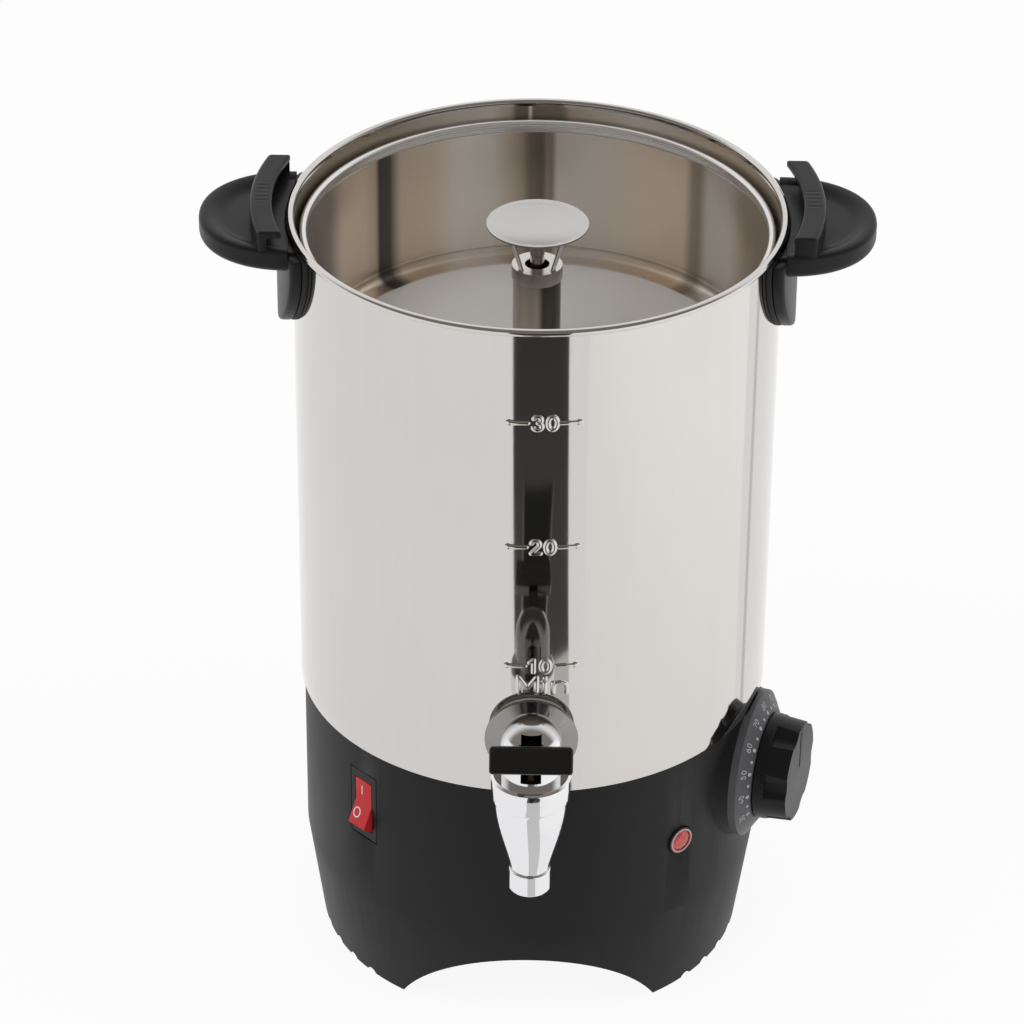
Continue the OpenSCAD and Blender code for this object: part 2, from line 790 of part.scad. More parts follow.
module knob_spindle() {
  color("#c9c6bb") outwards(dial_a, dial_h) rod(spindle_r, spindle_start, knob_back + knob_bore);
}

// ---- switch and lamp ----

module switch_housing() {
  color("#1b1b1c") outwards(switch_a, switch_h) difference() {
    union() {
      slab(bezel_w, bezel_h, switch_face - bezel_t, switch_face);
      slab(body_w, body_h, switch_back, switch_face - bezel_t / 2);
      for (y = [-8, 0, 8]) translate([0, y, 0]) slab(tab_w, tab_t, switch_back - tab_len, switch_back + 1);
    }
    translate([-cavity_w / 2, 0, pivot_d]) rotate([0, 90, 0]) cylinder(r = cavity_r, h = cavity_w);
    translate([-cavity_w / 2 - trunnion_len, 0, pivot_d]) rotate([0, 90, 0])
      cylinder(r = trunnion_r + running_gap, h = cavity_w + 2 * trunnion_len);
  }
}

// The rocker stands with its upper half pressed in
module rocker() {
  color("#c3202a") outwards(switch_a, switch_h) translate([0, 0, pivot_d]) rotate([-rocker_tilt, 0, 0]) {
    intersection() {
      rotate([0, 90, 0]) cylinder(r = rocker_r, h = rocker_w, center = true);
      union() for (s = [-1, 1]) intersection() {
        rotate([s * rocker_tilt, 0, 0]) slab(rocker_w + 2, 4 * rocker_r, -rocker_r, rocker_face);
        translate([0, s * rocker_r, 0]) slab(rocker_w + 2, 2 * rocker_r, -4, 2 * rocker_r);
      }
    }
    rotate([0, 90, 0]) cylinder(r = trunnion_r, h = rocker_w + 0.6 + 2 * trunnion_len - 0.4, center = true);
  }
}

module lamp_housing() {
  color("#1b1b1c") outwards(lamp_a, lamp_h) difference() {
    union() {
      rod(lamp_ring_r, lamp_seat, lamp_face);
      rod(lamp_barrel_r, lamp_back, lamp_seat + 1);
      for (s = [-1, 1]) translate([s * 2.5, 0, 0]) slab(tab_t, 3, lamp_back - tab_len, lamp_back + 1);
    }
    rod(lens_r, lens_seat, lamp_face + over);
  }
}

module lamp_lens() {
  dome_r = (lens_r * lens_r + lens_dome * lens_dome) / (2 * lens_dome);
  color("#d8382c") outwards(lamp_a, lamp_h) {
    intersection() {
      rod(lens_r, lens_seat, lamp_face + 2 * lens_dome);
      translate([0, 0, lamp_face - 0.4 + lens_dome - dome_r]) sphere(r = dome_r);
    }
  }
}

// ---- power inlet and wiring ----

module pin_places() {
  for (s = [-1, 1]) translate([s * pin_x, -pin_up / 2, 0]) children();
  translate([0, pin_up / 2 + 1, 0]) children();
}

module inlet_housing() {
  color("#1b1b1c") outwards(180, inlet_h) difference() {
    union() {
      slab(inlet_w, inlet_flange_h, inlet_pad, inlet_pad + inlet_flange_t);
      slab(inlet_body_w, inlet_body_h, inlet_back, inlet_pad + inlet_flange_t / 2);
    }
    slab(socket_w, socket_h, socket_floor, inlet_pad + inlet_flange_t + over);
    pin_places() slab(pin_w, pin_tall, inlet_back - over, socket_floor + over);
  }
}

module inlet_pins() {
  color("#c8b27a") outwards(180, inlet_h) pin_places() slab(pin_w, pin_tall, pin_back, pin_front);
}

block_at = [-34, 22];
block_size = [34, 16, 14];

module terminal_block() {
  color("#e6e2d6") translate([block_at[0] - block_size[0] / 2, block_at[1] - block_size[1] / 2, cover_top])
    difference() {
      cube(block_size);
      for (i = [0 : 2]) translate([block_size[0] * (i + 0.5) / 3, block_size[1] / 2, block_size[2] - 6])
        cylinder(r = 2.6, h = 8);
    }
}

wire_r = 1.3;
block_top = cover_top + block_size[2];
element_end = (360 - element_arc) / 2 + terminal_turn;
element_pin = [element_r * cos(element_end), element_r * sin(element_end)];
element_pin_z = element_z - element_drop - terminal_len + 3;

// A tab of the boil-dry cut-out, at its lower end: s is -1 or 1
function cutout_tab(s, below) =
  around(cutout_a, cutout_d, floor_under - cutout_h - tab_len - below, s * cutout_tab_x);

module live_wire() {
  color("#7a4a2a") wire(smooth_route([
    around(180, pin_back - loose_gap, inlet_h - pin_up / 2, pin_x),
    around(180, pin_back - 9, inlet_h - pin_up / 2, pin_x),
    around(180, pin_back - 20, inlet_h, 16),
    [-40, 8, inlet_h + 2],
    [-42, -20, switch_h - 12],
    around(switch_a, switch_back - tab_len - 8, switch_h - 8),
    around(switch_a, switch_back - tab_len - loose_gap, switch_h - 8)
  ], 4), wire_r, [0, 0, 1]);
}

module neutral_wire() {
  color("#3b5fa8") wire(smooth_route([
    around(180, pin_back - loose_gap, inlet_h - pin_up / 2, -pin_x),
    around(180, pin_back - 10, inlet_h - 2, -pin_x),
    [-8, 34, block_top + 8],
    [block_at[0] + 10, block_at[1] + 4, block_top + 5],
    [block_at[0] + 11.3, block_at[1], block_top + loose_gap + wire_r]
  ], 4), wire_r, [0, 0, 1]);
}

module earth_wire() {
  color("#4f9a3c") wire(smooth_route([
    around(180, pin_back - loose_gap, inlet_h + pin_up / 2 + 1),
    around(180, pin_back - 10, inlet_h + 4),
    around(189, plate_r - 2, inlet_h + 18),
    around(195, plate_r + 7, floor_under - 28),
    around(195, plate_r + 8, floor_under - 12),
    around(195, plate_r + 8, floor_under - loose_gap)
  ], 4), wire_r, [1, 0, 0]);
}

// Block to element, thermostat to element, switch to cut-out, and cut-out to thermostat
module heater_wires() {
  color("#e9e6df") {
    wire(smooth_route([
      [block_at[0] - 11.3, block_at[1], block_top + loose_gap + wire_r],
      [block_at[0] - 20, block_at[1] + 16, cover_top + 24],
      [-plate_r - 2, plate_r - 4, shield_z - 18],
      [0, plate_r + 24, shield_z - 6],
      [plate_r - 2, plate_r, shield_z - 2],
      [plate_r + 6, 26, shield_z + 5],
      [element_r + 10, element_pin[1], element_pin_z],
      [element_pin[0] + terminal_r + loose_gap, element_pin[1], element_pin_z]
    ], 3), wire_r, [0, 0, 1]);
    wire(smooth_route([
      around(dial_a - 3, capsule_back, dial_h + 6),
      around(dial_a - 2, capsule_back - 8, dial_h + 7),
      around(dial_a + 10, capsule_back - 6.1, element_pin_z - 1),
      [element_r + 10, -element_pin[1], element_pin_z],
      [element_pin[0] + terminal_r + loose_gap, -element_pin[1], element_pin_z]
    ], 4), wire_r, [0, 0, 1]);
    wire(smooth_route([
      around(switch_a, switch_back - tab_len - loose_gap, switch_h),
      around(switch_a, switch_back - tab_len - 9, switch_h + 2),
      around(-70, cutout_d - 10, switch_h + 6),
      around(-98, cutout_d - 6, switch_h + 9),
      cutout_tab(1, 8),
      cutout_tab(1, loose_gap)
    ], 4), wire_r, [0.5, -0.87, 0]);
    wire(smooth_route([
      cutout_tab(-1, loose_gap),
      cutout_tab(-1, 8),
      [10 - plate_r, plate_r + 10, shield_z + 2],
      [0, plate_r + 28, shield_z + 2],
      [plate_r, plate_r + 4, shield_z + 2],
      [plate_r + 24, 20, shield_z],
      [plate_r + 4, -2, dial_h + 5],
      around(dial_a + 3, capsule_back - 5, dial_h + 6),
      around(dial_a + 3, capsule_back, dial_h + 6)
    ], 3), wire_r, [0.3, 0.9, 0.2]);
  }
}

module lamp_wires() {
  color("#d98a2b") for (s = [-1, 1]) wire(smooth_route([
    around(lamp_a, lamp_back - tab_len - loose_gap, lamp_h, s * 2.5),
    around(lamp_a, lamp_back - tab_len - 10, lamp_h - 3, s * 3),
    [28, -18 + s * 4, lamp_h - 14],
    [-6, -14 + s * 4, block_top + 10],
    [block_at[0] + s * 4, block_at[1] - 16, block_top + 5],
    [block_at[0] + s * 4, block_at[1] - block_size[1] / 2 - loose_gap - 1, block_top - 6]
  ], 3), 1, [0, 0, 1]);
}

// ---- handles ----

// Half outline of the grip, seen from above: a full round end on straight sides
function grip_outline(reach, half_w, root) = concat(
  [[root, -half_w]],
  [for (i = [0 : 32]) let (t = -90 + i * 180 / 32, c = cos(t), s = sin(t))
    [root + (reach - root) * pow(c, 0.94), half_w * sign(s) * pow(abs(s), 0.94)]],
  [[root, half_w]]);

// Outline of the mounting leg, seen along X: straight sides on a round end
function leg_outline(top, half_w, depth) = concat(
  [[-half_w, top], [-half_w, top - 4]],
  [for (i = [1 : 23]) let (t = 180 + i * 180 / 24) [half_w * cos(t), top - 4 + (depth - 4) * sin(t)]],
  [[half_w, top - 4], [half_w, top]]);

// The skin of the tank's side between two radii, cut to the leg's outline
module leg_plate(r_in, r_out) {
  intersection() {
    translate([0, 0, leg_top - 2 * leg_h]) ring(r_out, r_in, 3 * leg_h);
    translate([tank_r / 2, 0, 0]) rotate([90, 0, 90]) linear_extrude(height = tank_r)
      polygon(leg_outline(leg_top, leg_w, leg_h));
  }
}

// A sector of a ring about the tank's axis, cut to a half length along Y
module rim_sector(r_in, r_out, from, to, half_w) {
  intersection() {
    translate([0, 0, from]) ring(r_out, r_in, to - from);
    translate([0, -half_w, from - over]) cube([2 * tank_r, 2 * half_w, to - from + 2 * over]);
  }
}

// The handle on the +X side. The lid hook is closed at its -Y end
module handle() {
  difference() {
    union() {
      leg_plate(leg_in, leg_out);
      difference() {
        translate([0, 0, grip_under]) linear_extrude(height = grip_h)
          polygon(grip_outline(grip_end, grip_w, grip_root));
        translate([0, 0, grip_top - dish_h]) linear_extrude(height = grip_h)
          polygon(grip_outline(grip_end - lip_w, grip_w - lip_w, grip_root));
        cylinder(r = leg_in, h = 2 * rim_z);
      }
      rim_sector(leg_in, hook_r + hook_t, grip_top - dish_h - 1, slot_floor, hook_w);
      rim_sector(hook_r, hook_r + hook_t, grip_top - dish_h - 1, hook_top, hook_w);
      rim_sector(hook_lip_r, hook_r + hook_t, hook_top - hook_flange_t, hook_top, hook_w);
      intersection() {
        rim_sector(hook_lip_r, hook_r + hook_t, slot_floor - 1, hook_top, hook_w);
        translate([0, -hook_w, 0]) cube([2 * tank_r, hook_t, 2 * rim_z]);
      }
    }
    for (t = [-1, 1]) outwards(90 + t * handle_screw_a, screw_z) rod(insert_r, leg_in - over, leg_out - 0.8);
  }
}

module right_handle() {
  color("#29292b") handle();
}

module left_handle() {
  color("#29292b") rotate([0, 0, 180]) handle();
}

module handle_gasket() {
  difference() {
    leg_plate(tank_r, leg_in);
    for (t = [-1, 1]) outwards(90 + t * handle_screw_a, screw_z)
      rod(handle_screw_r, tank_r - over, leg_in + over);
  }
}

module right_handle_gasket() {
  color("#1d1d1f") handle_gasket();
}

module left_handle_gasket() {
  color("#1d1d1f") rotate([0, 0, 180]) handle_gasket();
}

module at_handle_screws() {
  for (s = [-1, 1]) for (t = [-1, 1]) outwards(s * 90 + t * handle_screw_a, screw_z) children();
}

module handle_screws() {
  color("#cfcfcf") at_handle_screws() {
    rod(head_r, seal_face - seal_t - head_t, seal_face - seal_t);
    rod(handle_screw_r, seal_face - seal_t - eps, leg_out - 0.8);
  }
}

module handle_seals() {
  color("#e8e8e4") at_handle_screws() difference() {
    rod(seal_r, seal_face - seal_t, seal_face);
    rod(handle_screw_r, seal_face - 2 * seal_t, seal_face + over);
  }
}

module handle_inserts() {
  color("#c8a95a") at_handle_screws() difference() {
    rod(insert_r, leg_in, leg_out - 0.8);
    rod(handle_screw_r, leg_in - over, leg_out + over);
  }
}

// ---- basket ----

module basket_wall() {
  color("#d5d2cc") rotate_extrude() union() {
    translate([basket_bead_at, basket_rim_z]) circle(r = basket_bead_r);
    translate([basket_in, basket_floor_z + basket_corner_r])
      square([basket_t, basket_h - basket_corner_r]);
    translate([shoulder_in, basket_floor_z + basket_corner_r]) intersection() {
      difference() {
        circle(r = basket_corner_r + basket_t);
        circle(r = basket_corner_r);
      }
      translate([0, -2 * basket_corner_r]) square(2 * basket_corner_r);
    }
    translate([shoulder_in - 4, basket_floor_z - basket_t]) square([4 + eps, basket_t]);
  }
}

module basket_floor() {
  color("#bdb9b2") translate([0, 0, basket_floor_z - 2 * basket_t]) ring(shoulder_in, sleeve_in, basket_t);
}

module basket_sleeve() {
  color("#cfccc6") translate([0, 0, basket_floor_z - basket_t]) {
    ring(sleeve_r, sleeve_in, sleeve_h - collar_lip_t + basket_t);
    ring(sleeve_r + 4, sleeve_in, sleeve_foot);
  }
}

module spreader_collar() {
  prong_bottom = collar_top - eps;
  prong_top = spreader_z;
  lean = atan((spreader_leg_out - spreader_leg_in) / (prong_top - prong_bottom));
  color("#c9c5bd") union() {
    translate([0, 0, collar_top - collar_h]) ring(collar_r, sleeve_r, collar_h - collar_lip_t);
    translate([0, 0, collar_top - collar_lip_t]) ring(collar_r, collar_hole, collar_lip_t);
    intersection() {
      translate([0, 0, prong_bottom]) cylinder(r = 2 * spreader_r, h = prong_top - prong_bottom);
      for (a = [-50, 50, 180]) rotate([0, 0, a]) translate([0, -spreader_leg_in, prong_bottom])
        rotate([lean, 0, 0]) translate([-spreader_leg_w / 2, -spreader_leg_t / 2, -1])
          cube([spreader_leg_w, spreader_leg_t, 2 * spreader_rise]);
    }
  }
}

module spreader_disc() {
  color("#dcdad6") rotate_extrude() polygon([
    [0, spreader_z], [spreader_r - 3.4, spreader_z], [spreader_r - 2.6, spreader_z + 0.5],
    [spreader_r, spreader_z + 0.9], [spreader_r, spreader_z + 0.9 + spreader_t],
    [spreader_r - 2.9, spreader_z + 0.5 + spreader_t], [spreader_r - 3.8, spreader_z + spreader_t],
    [0, spreader_z + spreader_t]
  ]);
}

// ---- pump tube ----

module pump_tube() {
  color("#c2beb6") difference() {
    union() {
      rod(tube_r, tube_foot, tube_top);
      rod(stop_r, stop_z, stop_z + stop_t);
      rod(foot_flange_r, tube_foot, tube_foot + foot_flange_t);
    }
    rod(tube_r - tube_t, tube_foot - over, tube_top + over);
  }
}

module pump_bell() {
  color("#c2beb6") difference() {
    rotate_extrude() polygon([
      [bell_r, well_top], [bell_r, well_top + 3], [bell_neck_r, bell_roof],
      [bell_neck_r, bell_roof + bell_neck_h], [tube_r, bell_roof + bell_neck_h], [tube_r, bell_roof - bell_t],
      [bell_r - bell_t, well_top + 3 - bell_t], [bell_r - bell_t, well_top]
    ]);
    for (a = [0, 90, 180, 270]) rotate([0, 0, a]) translate([bell_r - 3, -notch_w / 2, well_top - over])
      cube([6, notch_w, over + notch_h]);
  }
}

module valve_washer() {
  color("#b5b1a8") translate([0, 0, washer_z]) ring(washer_r, tube_r + loose_gap, washer_t);
}

// ---- tap ----

// Outer shape of the barrel: a straight top with a small step, then a curve down to the spout
function barrel_outline() = concat(
  [[0, barrel_foot - spigot_h], [spigot_r, barrel_foot - spigot_h], [spigot_r, barrel_foot]],
  [for (i = [0 : 12]) let (t = i / 12, h = barrel_foot + t * (barrel_z - 12 - barrel_foot))
    [barrel_end_r + (barrel_r - 1.4 - barrel_end_r) * sin(90 * pow(t, 1.15)), h]],
  [[barrel_r - 0.4, barrel_z - 11], [barrel_r, barrel_z - 4], [barrel_r, barrel_z - 1],
   [barrel_r - 1, barrel_z], [0, barrel_z]]);

module tap_body() {
  color("#dfe1e4") difference() {
    union() {
      translate([0, tap_y, 0]) rotate_extrude() polygon(barrel_outline());
      outwards(0, tap_z) rod(shank_r, inner_gasket_d - tap_nut_t - 2, tank_r + tap_reach);
    }
    translate([0, tap_y, 0]) {
      rod(chamber_r, seat_z, barrel_z + over);
      rod(way_r, barrel_foot - spigot_h - over, seat_z + over);
    }
    outwards(0, tap_z) rod(way_r, inner_gasket_d - tap_nut_t - 2 - over, tank_r + tap_reach - chamber_r + 1);
  }
}

module tap_flange() {
  color("#c9ccd0") outwards(0, tap_z) difference() {
    union() {
      rod(flange_r, gasket_d, gasket_d + 1.2);
      translate([0, 0, gasket_d + 1.2]) cylinder(r1 = flange_r, r2 = shank_r + 5, h = flange_t - 1.2);
    }
    rod(shank_r, gasket_d - over, gasket_d + flange_t + over);
  }
}

module tap_gaskets() {
  color("#e4e2dc") {
    difference() {
      outwards(0, tap_z) rod(tap_gasket_out_r, tank_r - 8, gasket_d);
      outwards(0, tap_z) rod(shank_r, tank_r - 10, gasket_d + over);
      cylinder(r = tank_r, h = rim_z);
    }
    intersection() {
      difference() {
        outwards(0, tap_z) rod(gasket_r, inner_gasket_d, tank_r);
        outwards(0, tap_z) rod(shank_r, inner_gasket_d - over, tank_r + over);
      }
      cylinder(r = tank_in, h = rim_z);
    }
  }
}

module tap_nut() {
  color("#c9ccd0") outwards(0, tap_z) translate([0, 0, inner_gasket_d - tap_nut_t])
    hex_nut(tap_nut_af, shank_r, tap_nut_t);
}

module tap_bonnet() {
  color("#cfd2d6") difference() {
    translate([0, tap_y, 0]) {
      rod(chamber_r, barrel_z - plug_t, barrel_z);
      rod(bonnet_r, barrel_z, dome_z);
      intersection() {
        translate([0, 0, dome_z]) sphere(r = bonnet_r);
        rod(2 * bonnet_r, dome_z - eps, dome_z + bonnet_r);
      }
    }
    translate([0, tap_y, 0]) {
      rod(stem_r + running_gap, barrel_z - plug_t - over, barrel_z + over);
      rod(bonnet_r - 4, barrel_z + 1, cavity_top);
      rod(stem_r + 1.5, barrel_z + 1, stem_room_top);
    }
    translate([-slot_w / 2, tap_y - bonnet_r - over, barrel_z + 3])
      cube([slot_w, bonnet_r + over, bonnet_h + 0.52 * bonnet_r]);
    translate([0, pivot_y, pivot_z]) rotate([0, 90, 0]) cylinder(r = pin_r, h = 2 * pin_half, center = true);
  }
}

module tap_spout() {
  color("#e2e4e8") translate([0, tap_y, 0]) difference() {
    rod(spout_r, spout_foot, spout_top);
    rod(spout_bore, spout_foot - over, spout_top + over);
    rod(spigot_r, spout_top - spigot_h, spout_top + over);
  }
}

module tap_stem() {
  color("#b99a5b") translate([0, tap_y, 0]) difference() {
    union() {
      rod(stem_r, seat_z + 2, stem_top);
      rod(cup_r - 1, spring_foot - spring_seat_t, spring_foot);
    }
    translate([-stem_slot_w / 2, -2 * stem_r, pivot_z - stem_slot_h / 2])
      cube([stem_slot_w, 4 * stem_r, stem_slot_h]);
  }
}

module tap_seat_cup() {
  color("#e8e6e0") translate([0, tap_y, 0]) difference() {
    translate([0, 0, seat_z]) cylinder(r1 = cup_r - 1, r2 = cup_r - 2, h = cup_h);
    rod(stem_r, seat_z + 2, seat_z + cup_h + over);
  }
}

module tap_spring() {
  top = barrel_z - plug_t - spring_wire_r - loose_gap;
  foot = spring_foot + spring_wire_r + loose_gap;
  n = spring_turns * spring_steps;
  color("#9a9da1") translate([0, tap_y, 0]) wire([for (i = [0 : n]) [
    spring_coil_r * cos(i * 360 / spring_steps), spring_coil_r * sin(i * 360 / spring_steps),
    foot + (top - foot) * i / n
  ]], spring_wire_r, [0, 0, 1], 6);
}

module tap_lever() {
  grip_from = lever_len - 12;
  arm_from = hub_r - 1;
  color("#161617") translate([0, pivot_y, pivot_z]) union() {
    rotate([90, 0, 90]) linear_extrude(height = tongue_w, center = true) difference() {
      union() {
        circle(r = hub_r);
        rotate(-lever_a) translate([-grip_from - 1, -tongue_t / 2]) square([grip_from + 1, tongue_t]);
      }
      circle(r = pin_r + running_gap);
    }
    translate([-tip_w / 2, arm_from, -tip_neck_t / 2]) cube([tip_w, lever_arm - arm_from, tip_neck_t]);
    translate([0, lever_arm, 0]) rotate([0, 90, 0]) cylinder(r = tip_r, h = tip_w, center = true);
    rotate([-lever_a, 0, 0]) translate([-lever_w / 2, -lever_len, -lever_t / 2])
      cube([lever_w, lever_len - grip_from, lever_t]);
  }
}

module tap_lever_pin() {
  color("#c9c6bb") translate([0, pivot_y, pivot_z]) rotate([0, 90, 0])
    cylinder(r = pin_r, h = 2 * pin_half, center = true);
}

// ---- the nodes ----

tank_wall();
tank_floor();
base_shell();
bottom_cover();
centre_stud();
stud_nuts();
heat_shield();
heat_plate();
heating_element();
boil_dry_cutout();
thermostat_body();
thermostat_screws();
capillary_tube();
sensor_bulb();
sensor_clip();
dial_plate();
knob();
knob_spindle();
switch_housing();
rocker();
lamp_housing();
lamp_lens();
inlet_housing();
inlet_pins();
terminal_block();
live_wire();
neutral_wire();
earth_wire();
heater_wires();
lamp_wires();
left_handle();
right_handle();
left_handle_gasket();
right_handle_gasket();
handle_screws();
handle_seals();
handle_inserts();
basket_wall();
basket_floor();
basket_sleeve();
spreader_collar();
spreader_disc();
pump_tube();
pump_bell();
valve_washer();
tap_body();
tap_flange();
tap_gaskets();
tap_nut();
tap_bonnet();
tap_spout();
tap_stem();
tap_seat_cup();
tap_spring();
tap_lever();
tap_lever_pin();
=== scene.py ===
import json
import math
import bmesh
import bpy
import numpy as np
from mathutils import Matrix, Vector


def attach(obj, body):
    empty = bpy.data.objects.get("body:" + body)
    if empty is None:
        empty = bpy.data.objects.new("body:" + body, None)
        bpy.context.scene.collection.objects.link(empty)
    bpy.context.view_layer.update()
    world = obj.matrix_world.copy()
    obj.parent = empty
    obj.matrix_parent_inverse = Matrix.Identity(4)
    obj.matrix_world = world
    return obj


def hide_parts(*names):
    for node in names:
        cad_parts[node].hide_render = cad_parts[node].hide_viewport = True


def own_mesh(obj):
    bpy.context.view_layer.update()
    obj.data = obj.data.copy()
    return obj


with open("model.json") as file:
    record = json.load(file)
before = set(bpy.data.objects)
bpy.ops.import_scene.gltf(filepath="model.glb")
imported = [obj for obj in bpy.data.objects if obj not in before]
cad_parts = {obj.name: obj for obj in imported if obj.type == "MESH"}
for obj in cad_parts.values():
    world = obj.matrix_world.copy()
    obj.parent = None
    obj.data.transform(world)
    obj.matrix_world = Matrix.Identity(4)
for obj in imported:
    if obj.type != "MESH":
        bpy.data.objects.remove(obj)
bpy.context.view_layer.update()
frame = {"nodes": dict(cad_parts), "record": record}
cadNodes = frame["nodes"]
mm = 0.001  # the object's shapes are worked out in millimetres, the stage in metres
weldGap = 2e-6
print("frame loaded:", len(cadNodes), "nodes")


def gridQuads(rows, cols, wrapRows, wrapCols):
    # One quad for each step between neighbours; a wrapped direction joins its last line to its first
    i, j = np.meshgrid(np.arange(rows - (not wrapRows)), np.arange(cols - (not wrapCols)), indexing="ij")
    k, m = (i + 1) % rows, (j + 1) % cols
    return np.stack([i * cols + j, i * cols + m, k * cols + m, k * cols + j], -1).reshape(-1, 4)


def sheetOf(points, wrapRows=False, wrapCols=False, capRows=False):
    # A grid of points as vertices and faces; capRows closes its first and last row with one face each
    rows, cols = points.shape[:2]
    faces = gridQuads(rows, cols, wrapRows, wrapCols).tolist()
    if capRows:
        faces += [list(range(cols)), list(range((rows - 1) * cols, rows * cols))]
    return points.reshape(-1, 3), faces


def makePiece(name, sheets, body, material, stands=(), sharp=35, weld=weldGap):
    # The sheets become one mesh: doubles merged, faces turned outwards, edges over the sharp angle kept crisp
    verts, faces, start = [], [], 0
    for points, quads in sheets:
        verts.append(points)
        faces += [[v + start for v in q] for q in quads]
        start += len(points)
    mesh = bpy.data.meshes.new(name)
    mesh.from_pydata((np.concatenate(verts) * mm).tolist(), [], faces)
    bm = bmesh.new()
    bm.from_mesh(mesh)
    bmesh.ops.remove_doubles(bm, verts=bm.verts, dist=weld)
    bmesh.ops.dissolve_degenerate(bm, edges=bm.edges, dist=weld / 2)
    bmesh.ops.recalc_face_normals(bm, faces=bm.faces)
    bm.to_mesh(mesh)
    bm.free()
    return dress(bpy.data.objects.new(name, mesh), body, material, stands, sharp)


def dress(obj, body, material, stands, sharp):
    # Links a piece, gives it its finish and its body, and hides the CAD nodes that it stands for
    bpy.context.scene.collection.objects.link(obj)
    obj.data.materials.clear()
    obj.data.materials.append(material)
    obj.data.shade_smooth()
    obj.data.set_sharp_from_angle(angle=math.radians(sharp))
    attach(obj, body)
    if stands:
        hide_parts(*stands)
    return obj


def paintFaces(obj, material, chosen):
    # Faces whose centres, in mm, pass the test take a further finish
    obj.data.materials.append(material)
    centres = np.empty(len(obj.data.polygons) * 3)
    obj.data.polygons.foreach_get("center", centres)
    slots = np.zeros(len(obj.data.polygons), np.int32)
    obj.data.polygons.foreach_get("material_index", slots)
    slots[chosen(centres.reshape(-1, 3) / mm)] = len(obj.data.materials) - 1
    obj.data.polygons.foreach_set("material_index", slots)


soft = {"steps": 2, "sharp": 30, "flat": 0.6}


def softNode(node, body, material, width, least):
    # A CAD node's own solid, welded into one skin, its flat faces made whole and its edges rounded by a
    # bevel; with a least length, only sharp edges that are longer take part
    sharp = math.radians(soft["sharp"])
    mesh = cadNodes[node].data.copy()
    mesh.name = node + "Look"
    bm = bmesh.new()
    bm.from_mesh(mesh)
    bmesh.ops.remove_doubles(bm, verts=bm.verts, dist=weldGap)
    bmesh.ops.dissolve_limit(bm, angle_limit=math.radians(soft["flat"]), verts=bm.verts, edges=bm.edges,
                             delimit={"NORMAL"})
    if least:
        weight = bm.edges.layers.float.new("bevel_weight_edge")
        for edge in bm.edges:
            isSharp = edge.is_manifold and edge.calc_face_angle(0) > sharp
            edge[weight] = float(isSharp and edge.calc_length() > least * mm)
    bm.to_mesh(mesh)
    bm.free()
    obj = dress(bpy.data.objects.new(node + "Look", mesh), body, material, (node,), soft["sharp"])
    if width:
        bevel = obj.modifiers.new("roundedEdges", "BEVEL")
        bevel.width = width * mm
        bevel.segments = soft["steps"]
        bevel.limit_method = "WEIGHT" if least else "ANGLE"
        bevel.angle_limit = sharp
        bevel.use_clamp_overlap = not least
        bevel.harden_normals = True
    return obj


def filleted(corners, radii, steps):
    # A closed outline whose corners become arcs: each starts and ends r / tan(half the angle) from its corner
    pts = np.asarray(corners, float)
    before, after = np.roll(pts, 1, 0) - pts, np.roll(pts, -1, 0) - pts
    lenB, lenA = np.linalg.norm(before, axis=1), np.linalg.norm(after, axis=1)
    dirB, dirA = before / lenB[:, None], after / lenA[:, None]
    half = np.arccos(np.clip((dirB * dirA).sum(1), -1, 1)) / 2
    reach = np.minimum(np.asarray(radii, float) / np.tan(half), 0.49 * np.minimum(lenA, lenB))
    r = reach * np.tan(half)
    mid = dirA + dirB
    mid /= np.maximum(np.linalg.norm(mid, axis=1), 1e-9)[:, None]
    centre = pts + mid * (r / np.sin(half))[:, None]
    t = np.linspace(-1, 1, steps)[None, :, None] * (math.pi / 2 - half)[:, None, None]
    side = (dirA - dirB) / np.linalg.norm(dirA - dirB, axis=1)[:, None]
    bow = side[:, None] * np.sin(t) - mid[:, None] * np.cos(t)
    arc = centre[:, None] + bow * r[:, None, None]
    return np.concatenate([arc[i] if r[i] > 1e-6 else pts[i:i + 1] for i in range(len(pts))])


def turned(profile, segs):
    # A closed profile of radius and height carried once round an upright axis
    t = np.arange(segs) * 2 * math.pi / segs
    r, z = profile[:, :1], np.broadcast_to(profile[:, 1:2], (len(profile), segs))
    return sheetOf(np.stack([r * np.cos(t), r * np.sin(t), z], -1), wrapRows=True, wrapCols=True)


def lie(points, angle, height):
    # Local x, local y and distance from the tank's axis, turned to an angle counted from the tap
    a = math.radians(angle)
    x, y, d = points[..., 0], points[..., 1], points[..., 2]
    return np.stack([x * math.cos(a) + d * math.sin(a), x * math.sin(a) - d * math.cos(a), y + height], -1)


def softStep(x):
    # 0 below 0, 1 above 1, and an even curve between
    x = np.clip(x, 0, 1)
    return x * x * (3 - 2 * x)


def newGroup(name, inputs, outputs):
    # A shader group and its sockets, given as name, kind and default
    tree = bpy.data.node_groups.new(name, "ShaderNodeTree")
    for label, kind, value in inputs:
        socket = tree.interface.new_socket(label, in_out="INPUT", socket_type="NodeSocket" + kind)
        if value is not None:
            socket.default_value = value
    for label, kind in outputs:
        tree.interface.new_socket(label, in_out="OUTPUT", socket_type="NodeSocket" + kind)
    return tree, tree.nodes.new("NodeGroupInput").outputs, tree.nodes.new("NodeGroupOutput").inputs


def feed(tree, socket, value):
    # An input takes a plain value or a link from an output; a node stands for its first output
    if isinstance(value, bpy.types.Node):
        value = value.outputs[0]
    if isinstance(value, bpy.types.NodeSocket):
        tree.links.new(value, socket)
    else:
        socket.default_value = value


